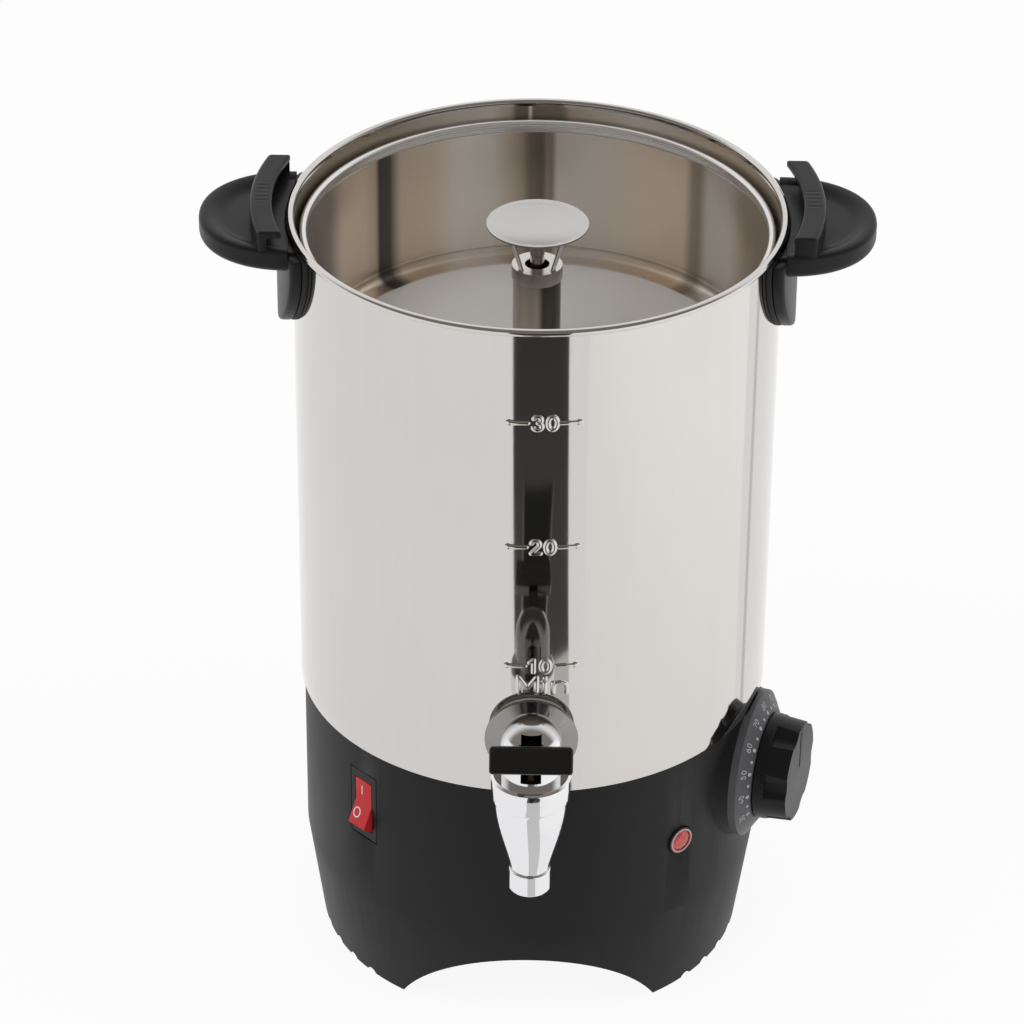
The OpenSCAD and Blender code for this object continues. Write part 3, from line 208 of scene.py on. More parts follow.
def addNode(tree, kind, values=(), **settings):
    # A shader node with its settings and what its inputs take
    node = tree.nodes.new("ShaderNode" + kind)
    for key, value in settings.items():
        setattr(node, key, value)
    for key, value in dict(values).items():
        feed(tree, node.inputs[key], value)
    return node


def mathOf(tree, operation, *values, kind="Math"):
    # One step of arithmetic on its values in turn
    return addNode(tree, kind, dict(enumerate(values)), operation=operation)


def rangeOf(tree, value, near, far, low=0.0, high=1.0, kind="LINEAR"):
    # A value carried from the span near to far into the span low to high
    spans = {"Value": value, "From Min": near, "From Max": far, "To Min": low, "To Max": high}
    return addNode(tree, "MapRange", spans, interpolation_type=kind)


def mixOf(tree, factor, first, second, blend="MIX"):
    # Two colours mixed by a factor: inputs 6 and 7 and output 2 are the node's colours
    values = {"Factor": factor, 6: first, 7: second}
    return addNode(tree, "Mix", values, data_type="RGBA", blend_type=blend).outputs[2]


def makeGrain():
    # Two sizes of noise: Height is the fine one, on stretched coordinates, and Tone leans on the broad one
    sockets = [("Vector", "Vector", None), ("Scale", "Float", 900.0), ("Stretch", "Vector", (1.0, 1.0, 1.0)),
               ("Broad", "Float", 18.0)]
    tree, given, out = newGroup("surfaceGrain", sockets, [("Height", "Float"), ("Tone", "Float")])
    stretched = mathOf(tree, "MULTIPLY", given["Vector"], given["Stretch"], kind="VectorMath")
    fine = addNode(tree, "TexNoise", {"Vector": stretched, "Scale": given["Scale"], "Detail": 3.0,
                                      "Roughness": 0.6}).outputs["Fac"]
    broad = addNode(tree, "TexNoise", {"Vector": given["Vector"], "Scale": given["Broad"], "Detail": 4.0,
                                       "Roughness": 0.55}).outputs["Fac"]
    feed(tree, out["Height"], fine)
    feed(tree, out["Tone"], mathOf(tree, "MULTIPLY_ADD", broad, 0.7, mathOf(tree, "MULTIPLY", fine, 0.3)))
    return tree


def makeHoles():
    # A staggered grid of round holes: the distance to the nearer of two lattices, one shifted by half a cell;
    # a cell is root 3 times as long as it is wide
    sockets = [("Vector", "Vector", None), ("Pitch", "Float", 0.001), ("Radius", "Float", 0.3)]
    tree, given, out = newGroup("punchedHoles", sockets, [("Solid", "Float")])
    long = 1.732
    perCell = mathOf(tree, "DIVIDE", 1.0, given["Pitch"])
    cells = addNode(tree, "VectorMath", {0: given["Vector"], "Scale": perCell}, operation="SCALE")
    cells = mathOf(tree, "MULTIPLY", cells, (1.0, 1 / long, 0.0), kind="VectorMath")
    nearest = []
    for shift in (0.0, 0.5):
        place = mathOf(tree, "ADD", cells, (shift, shift, 0.0), kind="VectorMath")
        place = mathOf(tree, "FRACTION", place, kind="VectorMath")
        place = mathOf(tree, "SUBTRACT", place, (0.5, 0.5, 0.0), kind="VectorMath")
        place = mathOf(tree, "MULTIPLY", place, (1.0, long, 0.0), kind="VectorMath")
        nearest.append(mathOf(tree, "LENGTH", place, kind="VectorMath").outputs["Value"])
    feed(tree, out["Solid"], mathOf(tree, "GREATER_THAN", mathOf(tree, "MINIMUM", *nearest), given["Radius"]))
    return tree


def makeFade(name, axisName, near, far, tone):
    # Painted reflection: a grey tone, multiplied into a finish's colour, that goes from 1 to a lower value
    # along one axis
    tree, given, out = newGroup(name, [("Vector", "Vector", None)], [("Tone", "Color")])
    axis = addNode(tree, "SeparateXYZ", {0: given["Vector"]}).outputs
    feed(tree, out["Tone"], rangeOf(tree, axis[axisName], near, far, 1.0, tone, "SMOOTHSTEP"))
    return tree


reflectionTints = {"warm": (1, 0.95, 0.89), "brown": (1, 0.86, 0.70)}


def makeBands(name, stops):
    # Painted reflection: upright light and dark bands on the inside of a round wall, standing for reflected
    # surroundings: the angle from its back, atan2(x, y), is read on a ramp
    tree, given, out = newGroup(name, [("Vector", "Vector", None)], [("Tone", "Color")])
    axis = addNode(tree, "SeparateXYZ", {0: given["Vector"]}).outputs
    turn = mathOf(tree, "ARCTAN2", axis["X"], axis["Y"])
    ramp = addNode(tree, "ValToRGB", {"Fac": rangeOf(tree, turn, -math.pi / 2, math.pi / 2)})
    feed(tree, out["Tone"], ramp)
    elements = ramp.color_ramp.elements
    colours = [(*(level * share for share in reflectionTints[tint]), 1) for _, tint, level in stops]
    elements[0].color, elements[1].color = colours[0], colours[-1]
    for (degrees, *_), colour in zip(stops[1:-1], colours[1:-1]):
        elements.new(0.5 + degrees / 180).color = colour
    return tree


# Painted reflection bands for the basket's wall and the tank's inside: degrees from the back, tint and level
basketReflectionStops = (
    (-90, "warm", 0.3), (-66, "warm", 0.45), (-60, "brown", 1.0), (-50, "brown", 0.9), (-46.5, "brown", 0.7),
    (-45, "warm", 0.10), (-41.5, "warm", 0.12), (-38, "brown", 0.8), (-28, "brown", 0.86), (-21, "warm", 1.0),
    (-12, "warm", 0.92), (-7, "brown", 0.75), (-4, "brown", 0.55), (-2.5, "brown", 0.3), (1.2, "brown", 0.2),
    (2, "brown", 0.42), (3.8, "brown", 0.36), (4.6, "warm", 0.86), (12, "warm", 0.86), (30, "brown", 0.92),
    (41, "brown", 0.9), (43.5, "brown", 0.45), (46, "brown", 0.40), (49, "warm", 0.8), (58, "warm", 0.85),
    (66, "brown", 0.6), (90, "warm", 0.4))
tankReflectionStops = (
    (-90, "brown", 0.25), (-40, "brown", 0.45), (-12, "warm", 0.8), (-7, "brown", 0.6), (-5.5, "brown", 0.22),
    (-2.5, "brown", 0.25), (-2.1, "warm", 1.0), (-1.7, "brown", 0.25), (6, "brown", 0.3), (8, "brown", 0.6),
    (24, "warm", 0.8), (50, "brown", 0.6), (90, "brown", 0.35))
grainGroup = makeGrain()
holesGroup = makeHoles()
basketPaintedReflection = makeBands("basketPaintedReflection", basketReflectionStops)
tankPaintedReflection = makeBands("tankPaintedReflection", tankReflectionStops)
# Painted reflection: the bonnet darkens from its front towards the tank, and the sleeve darkens on its +X
# side
bonnetPaintedReflection = makeFade("bonnetPaintedReflection", "Y", -0.1465, -0.1385, 0.22)
sleevePaintedReflection = makeFade("sleevePaintedReflection", "X", 0.0, 0.003, 0.18)


def makeFinish(name, colour, roughness, metallic=0.0, *, scale, broad, bump, shade, stretch=(1, 1, 1),
               depth=0.00005, spread=0.08, coat=0.0, specular=0.5, holes=None, paintedReflection=None):
    # One finish: grain drives small steps of colour and roughness and a fine bump; holes cut a punched
    # pattern and a painted reflection, bands or a fade, multiplies its colour
    mat = bpy.data.materials.new(name)
    mat.use_nodes = True
    tree = mat.node_tree
    place = addNode(tree, "TexCoord").outputs["Object"]
    grain = addNode(tree, "Group", {"Vector": place, "Scale": scale, "Stretch": stretch, "Broad": broad},
                    node_tree=grainGroup).outputs
    low, high = 0.3, 0.7
    rough = rangeOf(tree, grain["Tone"], low, high, max(roughness - spread, 0.02), roughness + spread)
    ends = [tuple(min(c * gain, 1.0) for c in colour) + (1.0,) for gain in (1 - shade, 1 + shade)]
    toned = mixOf(tree, rangeOf(tree, grain["Tone"], low, high), *ends)
    if paintedReflection:
        paintedTone = addNode(tree, "Group", {"Vector": place}, node_tree=paintedReflection)
        toned = mixOf(tree, 1.0, toned, paintedTone.outputs["Tone"], "MULTIPLY")
    values = {"Metallic": metallic, "Coat Weight": coat, "Coat Roughness": 0.12,
              "Specular IOR Level": specular, "Roughness": rough, "Base Color": toned}
    if bump:
        values["Normal"] = addNode(tree, "Bump", {"Strength": bump, "Distance": depth,
                                                  "Height": grain["Height"]})
    if holes:
        values["Alpha"] = addNode(tree, "Group", {"Vector": place, "Pitch": holes[0], "Radius": holes[1]},
                                  node_tree=holesGroup)
    for key, value in values.items():
        feed(tree, tree.nodes["Principled BSDF"].inputs[key], value)
    return mat


finishes = {
    "polished_steel": makeFinish("mirrorSteel", (0.625, 0.605, 0.585), 0.06, 1.0, scale=260,
                                 stretch=(1, 1, 0.05), broad=9, bump=0.05, depth=0.00002, spread=0.02,
                                 shade=0.02),
    "inner_steel": makeFinish("innerSteel", (0.62, 0.59, 0.56), 0.2, 1.0, scale=700, stretch=(1, 1, 0.06),
                              broad=14, bump=0.1, depth=0.00003, spread=0.05, shade=0.05),
    "satin_steel": makeFinish("satinSteel", (0.55, 0.535, 0.52), 0.34, 1.0, scale=1600, broad=30, bump=0.12,
                              depth=0.00003, spread=0.06, shade=0.04),
    "plated_steel": makeFinish("zincPlate", (0.60, 0.58, 0.52), 0.33, 1.0, scale=1200, broad=60, bump=0.1,
                               shade=0.12),
    "base_plastic": makeFinish("basePlastic", (0.0085, 0.0085, 0.0090), 0.46, scale=2600, broad=11, bump=0.14,
                               spread=0.05, shade=0.06, specular=0.17),
    "handle_plastic": makeFinish("handlePlastic", (0.0105, 0.0098, 0.0102), 0.38, scale=2400, broad=22,
                                 bump=0.14, spread=0.06, shade=0.08, specular=0.17),
    "dial_plastic": makeFinish("dialPlastic", (0.060, 0.060, 0.064), 0.44, scale=2600, broad=26, bump=0.14,
                               spread=0.05, shade=0.06, specular=0.3),
    "knob_plastic": makeFinish("knobPlastic", (0.008, 0.008, 0.0085), 0.34, scale=2600, broad=30, bump=0.12,
                               spread=0.06, shade=0.08, specular=0.14),
    "switch_black": makeFinish("switchBlack", (0.0085, 0.0085, 0.009), 0.34, scale=2600, broad=40, bump=0.08,
                               shade=0.1, specular=0.2),
    "rocker_red": makeFinish("rockerRed", (0.46, 0.016, 0.018), 0.26, scale=2000, broad=60, bump=0.03,
                             shade=0.08, specular=0.3),
    "lamp_ring": makeFinish("lampRing", (0.012, 0.008, 0.008), 0.30, scale=2000, broad=60, bump=0.05,
                            shade=0.1, specular=0.3),
    "lamp_red": makeFinish("lampRed", (0.44, 0.045, 0.035), 0.16, scale=900, broad=420, bump=0.8,
                           depth=0.0006, shade=0.6, coat=0.3),
    "lever_plastic": makeFinish("leverPlastic", (0.006, 0.006, 0.006), 0.24, scale=2400, broad=40, bump=0.06,
                                spread=0.05, shade=0.1, specular=0.3),
    "tap_chrome": makeFinish("tapChrome", (0.80, 0.80, 0.815), 0.06, 1.0, scale=500, broad=40, bump=0.02,
                             depth=0.00002, spread=0.02, shade=0.02),
    "brass": makeFinish("brass", (0.62, 0.42, 0.17), 0.28, 1.0, scale=1500, broad=90, bump=0.08, shade=0.12),
    "copper": makeFinish("copper", (0.70, 0.32, 0.18), 0.32, 1.0, scale=1500, broad=60, bump=0.1, shade=0.15),
    "heater_aluminium": makeFinish("heaterAluminium", (0.55, 0.56, 0.57), 0.45, 1.0, scale=900, broad=30,
                                   bump=0.3, depth=0.0001, shade=0.12),
    "element_sheath": makeFinish("elementSheath", (0.20, 0.18, 0.155), 0.5, 1.0, scale=1200, broad=70,
                                 bump=0.2, shade=0.25),
    "dark_ceramic": makeFinish("darkCeramic", (0.06, 0.05, 0.045), 0.55, scale=1800, broad=90, bump=0.3,
                               shade=0.2),
    "cream_plastic": makeFinish("creamPlastic", (0.68, 0.62, 0.47), 0.42, scale=2000, broad=50, bump=0.1,
                                shade=0.06),
    "black_rubber": makeFinish("blackRubber", (0.010, 0.010, 0.011), 0.62, scale=2600, broad=40, bump=0.25,
                               shade=0.12, specular=0.3),
    "pale_silicone": makeFinish("paleSilicone", (0.72, 0.71, 0.68), 0.5, scale=2200, broad=60, bump=0.1,
                                shade=0.05),
    "white_wire": makeFinish("whiteWire", (0.74, 0.72, 0.66), 0.7, scale=1400, broad=50, bump=0.5,
                             depth=0.0002, shade=0.1),
}
for wire, colour in {"brown": (0.20, 0.075, 0.028), "blue": (0.035, 0.11, 0.42), "green": (0.06, 0.30, 0.05),
                     "orange": (0.66, 0.24, 0.03)}.items():
    finishes[wire + "_wire"] = makeFinish(wire + "Wire", colour, 0.4, scale=2000, broad=50, bump=0.06,
                                          shade=0.1)
printGrey = makeFinish("printGrey", (0.33, 0.33, 0.37), 0.5, scale=2000, broad=80, bump=0.03, shade=0.08)
markWhite = makeFinish("markWhite", (0.62, 0.62, 0.66), 0.5, scale=2000, broad=80, bump=0.03, shade=0.08)
# Painted reflection: the flange's chrome has a dark colour that stands for the dim surroundings it reflects
flangeDarkReflectionChrome = makeFinish("flangeDarkReflectionChrome", (0.27, 0.262, 0.255), 0.12, 1.0, scale=500, broad=40, bump=0.02,
                          depth=0.00002, spread=0.03, shade=0.06)
# The bonnet's chrome and the sleeve's steel are darkened on one side by a painted reflection
bonnetChrome = makeFinish("bonnetChrome", (0.80, 0.80, 0.815), 0.07, 1.0, scale=500, broad=40, bump=0.02,
                          depth=0.00002, spread=0.02, shade=0.02, paintedReflection=bonnetPaintedReflection)
sleeveSteel = makeFinish("sleeveSteel", (0.50, 0.44, 0.37), 0.16, 0.9, scale=700, stretch=(1, 1, 0.06),
                         broad=30, bump=0.05, depth=0.00002, spread=0.04, shade=0.05, paintedReflection=sleevePaintedReflection)
paleLens = makeFinish("paleLens", (0.42, 0.27, 0.27), 0.2, scale=2000, broad=80, bump=0.05, shade=0.1,
                      coat=0.5)
meshSteel = makeFinish("meshSteel", (0.90, 0.88, 0.86), 0.36, 0.25, scale=1800, broad=20, bump=0.1,
                       shade=0.05, holes=(0.0011, 0.27))
# The basket wall's colour is multiplied by painted reflection bands
basketSteel = makeFinish("basketSteel", (0.82, 0.80, 0.78), 0.24, 0.76, scale=900, stretch=(1, 1, 0.06),
                         broad=14, bump=0.02, depth=0.00002, spread=0.04, shade=0.03, paintedReflection=basketPaintedReflection)
rimSteel = makeFinish("rimSteel", (0.74, 0.73, 0.72), 0.22, 0.85, scale=700, broad=30, bump=0.05,
                      depth=0.00002, spread=0.05, shade=0.03)
# The tank's inside takes painted reflection bands in its colour
tankInside = makeFinish("tankInside", (0.90, 0.86, 0.82), 0.38, 0.7, scale=700, broad=20, bump=0.08,
                        depth=0.00003, spread=0.05, shade=0.05, paintedReflection=tankPaintedReflection)

slotOf = {row["node"]: row["material_slot"] for row in frame["record"]["subparts"]}
for nodeName, obj in cadNodes.items():
    obj.data.materials.clear()
    obj.data.materials.append(finishes[slotOf[nodeName]])
print("finishes made:", len(finishes))


tank = {"outR": 100.0, "inR": 99.2, "foot": 123.8, "rim": 342.0, "beadR": 1.6, "edge": 0.5, "wallTop": 340.0,
        "markAngle": 2.0, "markHigh": 0.45, "flat": 0.35, "slope": 0.55, "digit": 6.5, "letter": 8.2,
        "dashFrom": 6.4, "dashTo": 14.2, "dashBall": 0.45, "wordFoot": 173.3, "wordMiddle": 1.0,
        "numbers": (("30", 301.0, 0.9), ("20", 243.6, 0.6), ("10", 186.6, -0.2)), "row": 0.25, "rowsBy": 5.0,
        "wordRows": (171.5, 191.6), "column": 0.15, "columnsBy": 10.2, "farColumns": 182}


def ellipse(cx, cy, rx, ry, fromAngle=0, toAngle=360, count=25):
    # Points at cx + rx cos t, cy + ry sin t
    t = np.radians(np.linspace(fromAngle, toAngle, count))
    return np.stack([cx + rx * np.cos(t), cy + ry * np.sin(t)], -1)


glyphs = {
    "0": ([ellipse(0.38, 0.5, 0.28, 0.46)], 0.86),
    "1": ([np.array([(0.12, 0.74), (0.36, 0.96), (0.36, 0.04)])], 0.72),
    "2": ([np.concatenate([ellipse(0.34, 0.70, 0.25, 0.26, 165, -25, 13),
                           [(0.09, 0.05), (0.64, 0.05)]])], 0.86),
    "3": ([np.concatenate([ellipse(0.33, 0.73, 0.23, 0.23, 160, -80, 13),
                           ellipse(0.33, 0.27, 0.27, 0.24, 80, -160, 13)])], 0.86),
    "4": ([np.array([(0.54, 0.04), (0.54, 0.96), (0.08, 0.30), (0.76, 0.30)])], 0.95),
    "5": ([np.concatenate([[(0.66, 0.95), (0.20, 0.95), (0.14, 0.55)],
                           ellipse(0.38, 0.33, 0.30, 0.28, 125, -150, 13)])], 0.95),
    "6": ([ellipse(0.42, 0.31, 0.29, 0.27), np.array([(0.62, 0.95), (0.30, 0.72), (0.14, 0.36)])], 0.95),
    "7": ([np.array([(0.10, 0.95), (0.70, 0.95), (0.30, 0.04)])], 0.90),
    "8": ([ellipse(0.42, 0.73, 0.24, 0.22), ellipse(0.42, 0.28, 0.30, 0.25)], 0.95),
    "9": ([ellipse(0.40, 0.69, 0.29, 0.27), np.array([(0.68, 0.64), (0.52, 0.28), (0.20, 0.05)])], 0.95),
    "M": ([np.array([(0.05, 0.02), (0.05, 0.96), (0.50, 0.30), (0.95, 0.96), (0.95, 0.02)])], 1.165),
    "i": ([np.array([(0.20, 0.02), (0.20, 0.60)]), np.array([(0.20, 0.87), (0.20, 0.93)])], 0.515),
    "n": ([np.array([(0.10, 0.62), (0.10, 0.02)]),
           np.concatenate([ellipse(0.435, 0.36, 0.335, 0.26, 170, 0, 13), [(0.77, 0.02)]])], 0.87),
}


def wordStrokes(word, size, middle, foot):
    # The strokes of a word as joined points, glyph after glyph, centred on its middle
    wide = sum(glyphs[c][1] for c in word) * size
    x = middle - wide / 2
    strokes = []
    for c in word:
        shapes, step = glyphs[c]
        strokes += [shape * size + (x, foot) for shape in shapes]
        x += step * size
    return strokes


def markSegments():
    # All the lines of the level marks as start and end points: across the tank and up, in mm
    lines = wordStrokes("Min", tank["letter"], tank["wordMiddle"], tank["wordFoot"])
    for word, height, middle in tank["numbers"]:
        lines += wordStrokes(word, tank["digit"], middle, height - tank["digit"] / 2)
        for side in (-1, 1):
            lines.append(np.array([(side * tank["dashFrom"], height), (side * tank["dashTo"], height)]))
            lines.append(ellipse(side * tank["dashTo"], height, tank["dashBall"], tank["dashBall"], count=9))
    starts = np.concatenate([line[:-1] for line in lines])
    return starts, np.concatenate([line[1:] for line in lines])


def tankShell():
    # A closed profile of radius and height carried round the axis; the outside is pushed out by a smooth
    # step of the distance to the nearest line of a level mark; rows and columns are dense round the marks
    t = tank
    rows = [np.arange(z - t["rowsBy"], z + t["rowsBy"] + 0.1, t["row"]) for _, z, _ in t["numbers"][:2]]
    rows += [np.arange(*t["wordRows"], t["row"]), np.linspace(t["foot"] + t["edge"], t["wallTop"], 30)]
    outZ = np.unique(np.round(np.concatenate(rows), 3))
    q = np.radians(np.linspace(-90, 0, 5))[:-1]
    foot = np.stack([t["outR"] - t["edge"] * (1 - np.cos(q)), t["foot"] + t["edge"] * (1 + np.sin(q))], -1)
    turn = np.radians(np.linspace(-120, 180, 26))
    bead = np.stack([t["inR"] + t["beadR"] * (1 + np.cos(turn)), t["rim"] + t["beadR"] * np.sin(turn)], -1)
    inner = np.stack([np.full(9, t["inR"]), np.linspace(t["rim"] - 1.2, t["foot"] + 0.1, 9)], -1)
    outer = np.stack([np.full(len(outZ), t["outR"]), outZ], -1)
    profile = np.concatenate([outer, bead, inner, foot])
    edges = t["markAngle"] - t["columnsBy"], t["markAngle"] + t["columnsBy"] + 0.05
    near = np.radians(np.arange(*edges, t["column"]))
    far = np.linspace(near[-1], near[0] + 2 * math.pi, t["farColumns"])[1:-1]
    angle = np.concatenate([near, far])
    shape = (len(profile), len(angle))
    r = np.broadcast_to(profile[:, :1], shape).copy()
    starts, ends = markSegments()
    along = ends - starts
    across = t["outR"] * (near - math.radians(t["markAngle"]))
    p = np.stack(np.meshgrid(across, outer[:, 1]), -1)[..., None, :]
    s = np.clip(((p - starts) * along).sum(-1) / np.maximum((along * along).sum(-1), 1e-9), 0, 1)
    dist = np.linalg.norm(p - (starts + s[..., None] * along), axis=-1).min(-1)
    r[:len(outer), :len(near)] += t["markHigh"] * (1 - softStep((dist - t["flat"]) / t["slope"]))
    z = np.broadcast_to(profile[:, 1:2], shape)
    return sheetOf(np.stack([r * np.sin(angle), -r * np.cos(angle), z], -1), wrapRows=True, wrapCols=True)


shell = makePiece("tankShell", [tankShell()], "urn", finishes["polished_steel"],
                  ("tank_wall",), sharp=55)
paintFaces(shell, tankInside,
           lambda c: (np.hypot(c[:, 0], c[:, 1]) < tank["inR"] + 0.05) & (c[:, 2] < tank["rim"] - 1))
print("tank shell:", len(shell.data.polygons), "faces")


handle = {"root": 100.0, "reach": 138.0, "halfW": 36.0, "under": 331.5, "top": 341.5, "dish": 2.5, "lip": 3.2,
          "edge": 3.4, "round": 1.9, "bowl": 22.0, "fall": 6.5, "crown": 0.35, "power": 0.94, "legIn": 102.4,
          "legOut": 106.6, "legW": 40.5, "legTop": 339.0, "legH": 42.4, "shoulder": 4.0,
          "insets": (37.5, 30.0, 21.0, 12.0, 6.0), "gasketIn": 100.05, "gasketOut": 102.1}
hook = {"wall": 113.4, "out": 117.0, "flange": 108.0, "top": 349.4, "under": 346.3, "foot": 337.2,
        "floor": 340.3, "halfW": 34.5, "web": 3.8, "proud": 0.06, "base": (102.5, 116.8, 336.5),
        "ribPitch": 3.3, "ribsBy": 10.5, "ribDeep": 0.22}


def gripSheet():
    # An outline that is half a round end, drawn in towards its middle by an inset while the height follows
    # the grip's section: flat under, round edge, side, lip, dish; the flat end lies on the tank's side
    h = handle
    e, r = h["edge"], h["round"]
    q = np.radians(np.linspace(0, 90, 7))
    most, high = h["halfW"] - 0.01, h["top"] - r
    d = np.linspace(0, 1, 14)[1:]
    fall = softStep((d * h["bowl"] - h["lip"] + r) / h["fall"])
    runs = [(np.linspace(1, 0.12, 7) * most, np.full(7, h["under"])),
            (e * (1 - np.sin(q)), h["under"] + e * (1 - np.cos(q))),
            (np.zeros(4), np.linspace(h["under"] + e, high, 6)[1:-1]),
            (r * (1 - np.cos(q)), high + r * np.sin(q)),
            (r + d * h["bowl"], h["top"] - h["dish"] * fall + h["crown"] * d ** 2),
            (np.linspace(h["bowl"] + 2.5, most, 5), np.full(5, h["top"] - h["dish"] + h["crown"]))]
    section = np.concatenate([np.stack(run, -1) for run in runs])
    keep = 1 - section[:, :1] / h["halfW"]
    t = np.radians(np.linspace(-90, 90, 91))
    c, s = np.cos(t) ** h["power"], np.sign(t) * np.abs(np.sin(t)) ** h["power"]
    across = np.linspace(1, -1, 26)[1:-1]
    flatEnd = np.full((len(section), len(across)), h["root"])
    x = np.concatenate([h["root"] + keep * (h["reach"] - h["root"]) * c, flatEnd], 1)
    y = keep * h["halfW"] * np.concatenate([s, across])
    x = np.maximum(x, np.sqrt(h["legIn"] ** 2 - y ** 2))
    z = np.broadcast_to(section[:, 1:2], x.shape)
    return sheetOf(np.stack([x, y, z], -1), wrapCols=True)


def plateSheet(rIn, rOut, edgeIn, edgeOut):
    # The leg's outline, straight at the top and half an ellipse below, drawn in towards its middle while the
    # radius about the tank's axis goes from the inner face round the edge to the outer face
    h = handle
    w, top, low = h["legW"], h["legTop"], h["legTop"] - h["legH"]
    t = np.radians(np.linspace(180, 360, 61))
    shoulder = top - h["shoulder"]
    curve = np.stack([w * np.cos(t), shoulder + (shoulder - low) * np.sin(t)], -1)
    across = np.linspace(1, -1, 34)[1:-1]
    flat = np.stack([across * (w - 2), np.full(len(across), top)], -1)
    corner = np.array([(w - 0.1, top - 1.4), (w - 0.6, top - 0.4), (w - 1.6, top)])
    line = np.concatenate([curve, corner, flat, corner[::-1] * (-1, 1)])
    middle = np.array([0.0, (top + low) / 2 + 4])
    q = np.radians(np.linspace(0, 90, 6))
    ring = [(inset, rIn) for inset in h["insets"]]
    ring += [(edgeIn * (1 - math.sin(a)), rIn + edgeIn * (1 - math.cos(a))) for a in q]
    ring += [(edgeOut * (1 - math.cos(a)), rOut - edgeOut * (1 - math.sin(a))) for a in q]
    ring = np.array(ring + [(inset, rOut) for inset in h["insets"][::-1]])
    reach = np.linalg.norm(line - middle, axis=1).clip(h["insets"][0])
    keep = np.clip(1 - ring[:, :1] / reach, 0, 1)
    keep[0], keep[-1] = 0, 0
    y, z = (middle[i] + (line[:, i] - middle[i]) * keep for i in (0, 1))
    x = np.sqrt(np.maximum(ring[:, 1:2] ** 2 - y ** 2, 0))
    return sheetOf(np.stack([x, y, z], -1), wrapCols=True)


def sweptAlongRim(outline, fromY, toY, soft, steps, ribs=False):
    # An outline of radius and height carried along the rim: x is the root of radius squared less y squared;
    # near its ends the outline is drawn in along its own normals, as a quarter circle
    n = np.roll(outline, -1, 0) - np.roll(outline, 1, 0)
    n = np.stack([n[:, 1], -n[:, 0]], -1)
    n /= np.maximum(np.linalg.norm(n, axis=1), 1e-9)[:, None]
    ahead = np.roll(outline, -1, 0)
    n *= np.sign((outline[:, 0] * ahead[:, 1] - ahead[:, 0] * outline[:, 1]).sum())
    q = np.radians(np.linspace(0, 90, 5))
    inner = np.linspace(fromY + soft, toY - soft, steps)
    y = np.sort(np.concatenate([fromY + soft * (1 - np.sin(q)), inner[1:-1], toY - soft + soft * np.sin(q)]))
    gone = np.maximum(np.maximum(fromY + soft - y, y - toY + soft), 0)
    draw = soft - np.sqrt(np.maximum(soft ** 2 - gone ** 2, 0))
    r = outline[None, :, 0] - n[None, :, 0] * draw[:, None]
    z = outline[None, :, 1] - n[None, :, 1] * draw[:, None]
    if ribs:
        wave = np.clip(np.cos(2 * math.pi * y / hook["ribPitch"]), 0, 1) ** 3
        wave *= softStep((hook["ribsBy"] - np.abs(y)) / 2)
        upper = softStep((z - (hook["top"] - 0.35)) / 0.3)
        upper *= softStep((hook["out"] - 2.2 - r) / 0.8) * softStep((r - hook["flange"] - 0.8) / 0.8)
        z = z - hook["ribDeep"] * wave[:, None] * upper
    y = np.broadcast_to(y[:, None], r.shape)
    return sheetOf(np.stack([np.sqrt(r ** 2 - y ** 2), y, z], -1), capRows=True)


def hookSheets():
    # The lid hook: a bent-over wall, a web that closes one end, a hair proud of it, and the slot's floor
    k = hook
    bent = filleted([(k["wall"], k["foot"]), (k["out"], k["foot"]), (k["out"], k["top"]),
                     (k["flange"], k["top"]), (k["flange"], k["under"]), (k["wall"], k["under"])],
                    [0, 0, 1.7, 0.9, 0.9, 0.8], 6)
    dense = []
    for a, b in zip(bent, np.roll(bent, -1, 0)):
        n = max(int(np.linalg.norm(b - a)), 1)
        dense.append(a + (b - a) * np.arange(n)[:, None] / n)
    webIn, webOut, webTop = k["flange"] + 0.2, k["out"] - 0.4, k["top"] - 0.3
    web = filleted([(webIn, k["foot"]), (webOut, k["foot"]), (webOut, webTop), (webIn, webTop)],
                   [0, 0, 1.2, 0.8], 5)
    rIn, rOut, low = k["base"]
    base = filleted([(rIn, low), (rOut, low), (rOut, k["floor"]), (rIn, k["floor"])], [0, 0, 0.3, 0.6], 4)
    end = k["halfW"]
    return [sweptAlongRim(np.concatenate(dense), -end, end, 0.8, 110, ribs=True),
            sweptAlongRim(web, -end - k["proud"], -end + k["web"], 0.35, 12),
            sweptAlongRim(base, -end + 0.3, end - 0.3, 0.5, 40)]


grip = [gripSheet(), plateSheet(handle["legIn"], handle["legOut"], 0.5, 1.5)] + hookSheets()
gasket = [plateSheet(handle["gasketIn"], handle["gasketOut"], 0.3, 0.8)]
# The left handle is the right one turned half way round the tank
for sideName, half in (("right", 1), ("left", -1)):
    for label, sheets, slotName, node in (("Grip", grip, "handle_plastic", "_handle"),
                                          ("Gasket", gasket, "black_rubber", "_handle_gasket")):
        placed = [(points * (half, half, 1), faces) for points, faces in sheets]
        makePiece(sideName + "Handle" + label, placed, "urn", finishes[slotName],
                  (sideName + node,), sharp=38)
print("handles made")


basket = {"inR": 95.0, "outR": 95.6, "corner": 5.0, "sheet": 0.6, "footR": 86.0, "floor": 272.5, "rim": 334.5,
          "beadR": 1.6, "bright": 330.6, "rows": (290.0, 310.0, 325.0)}


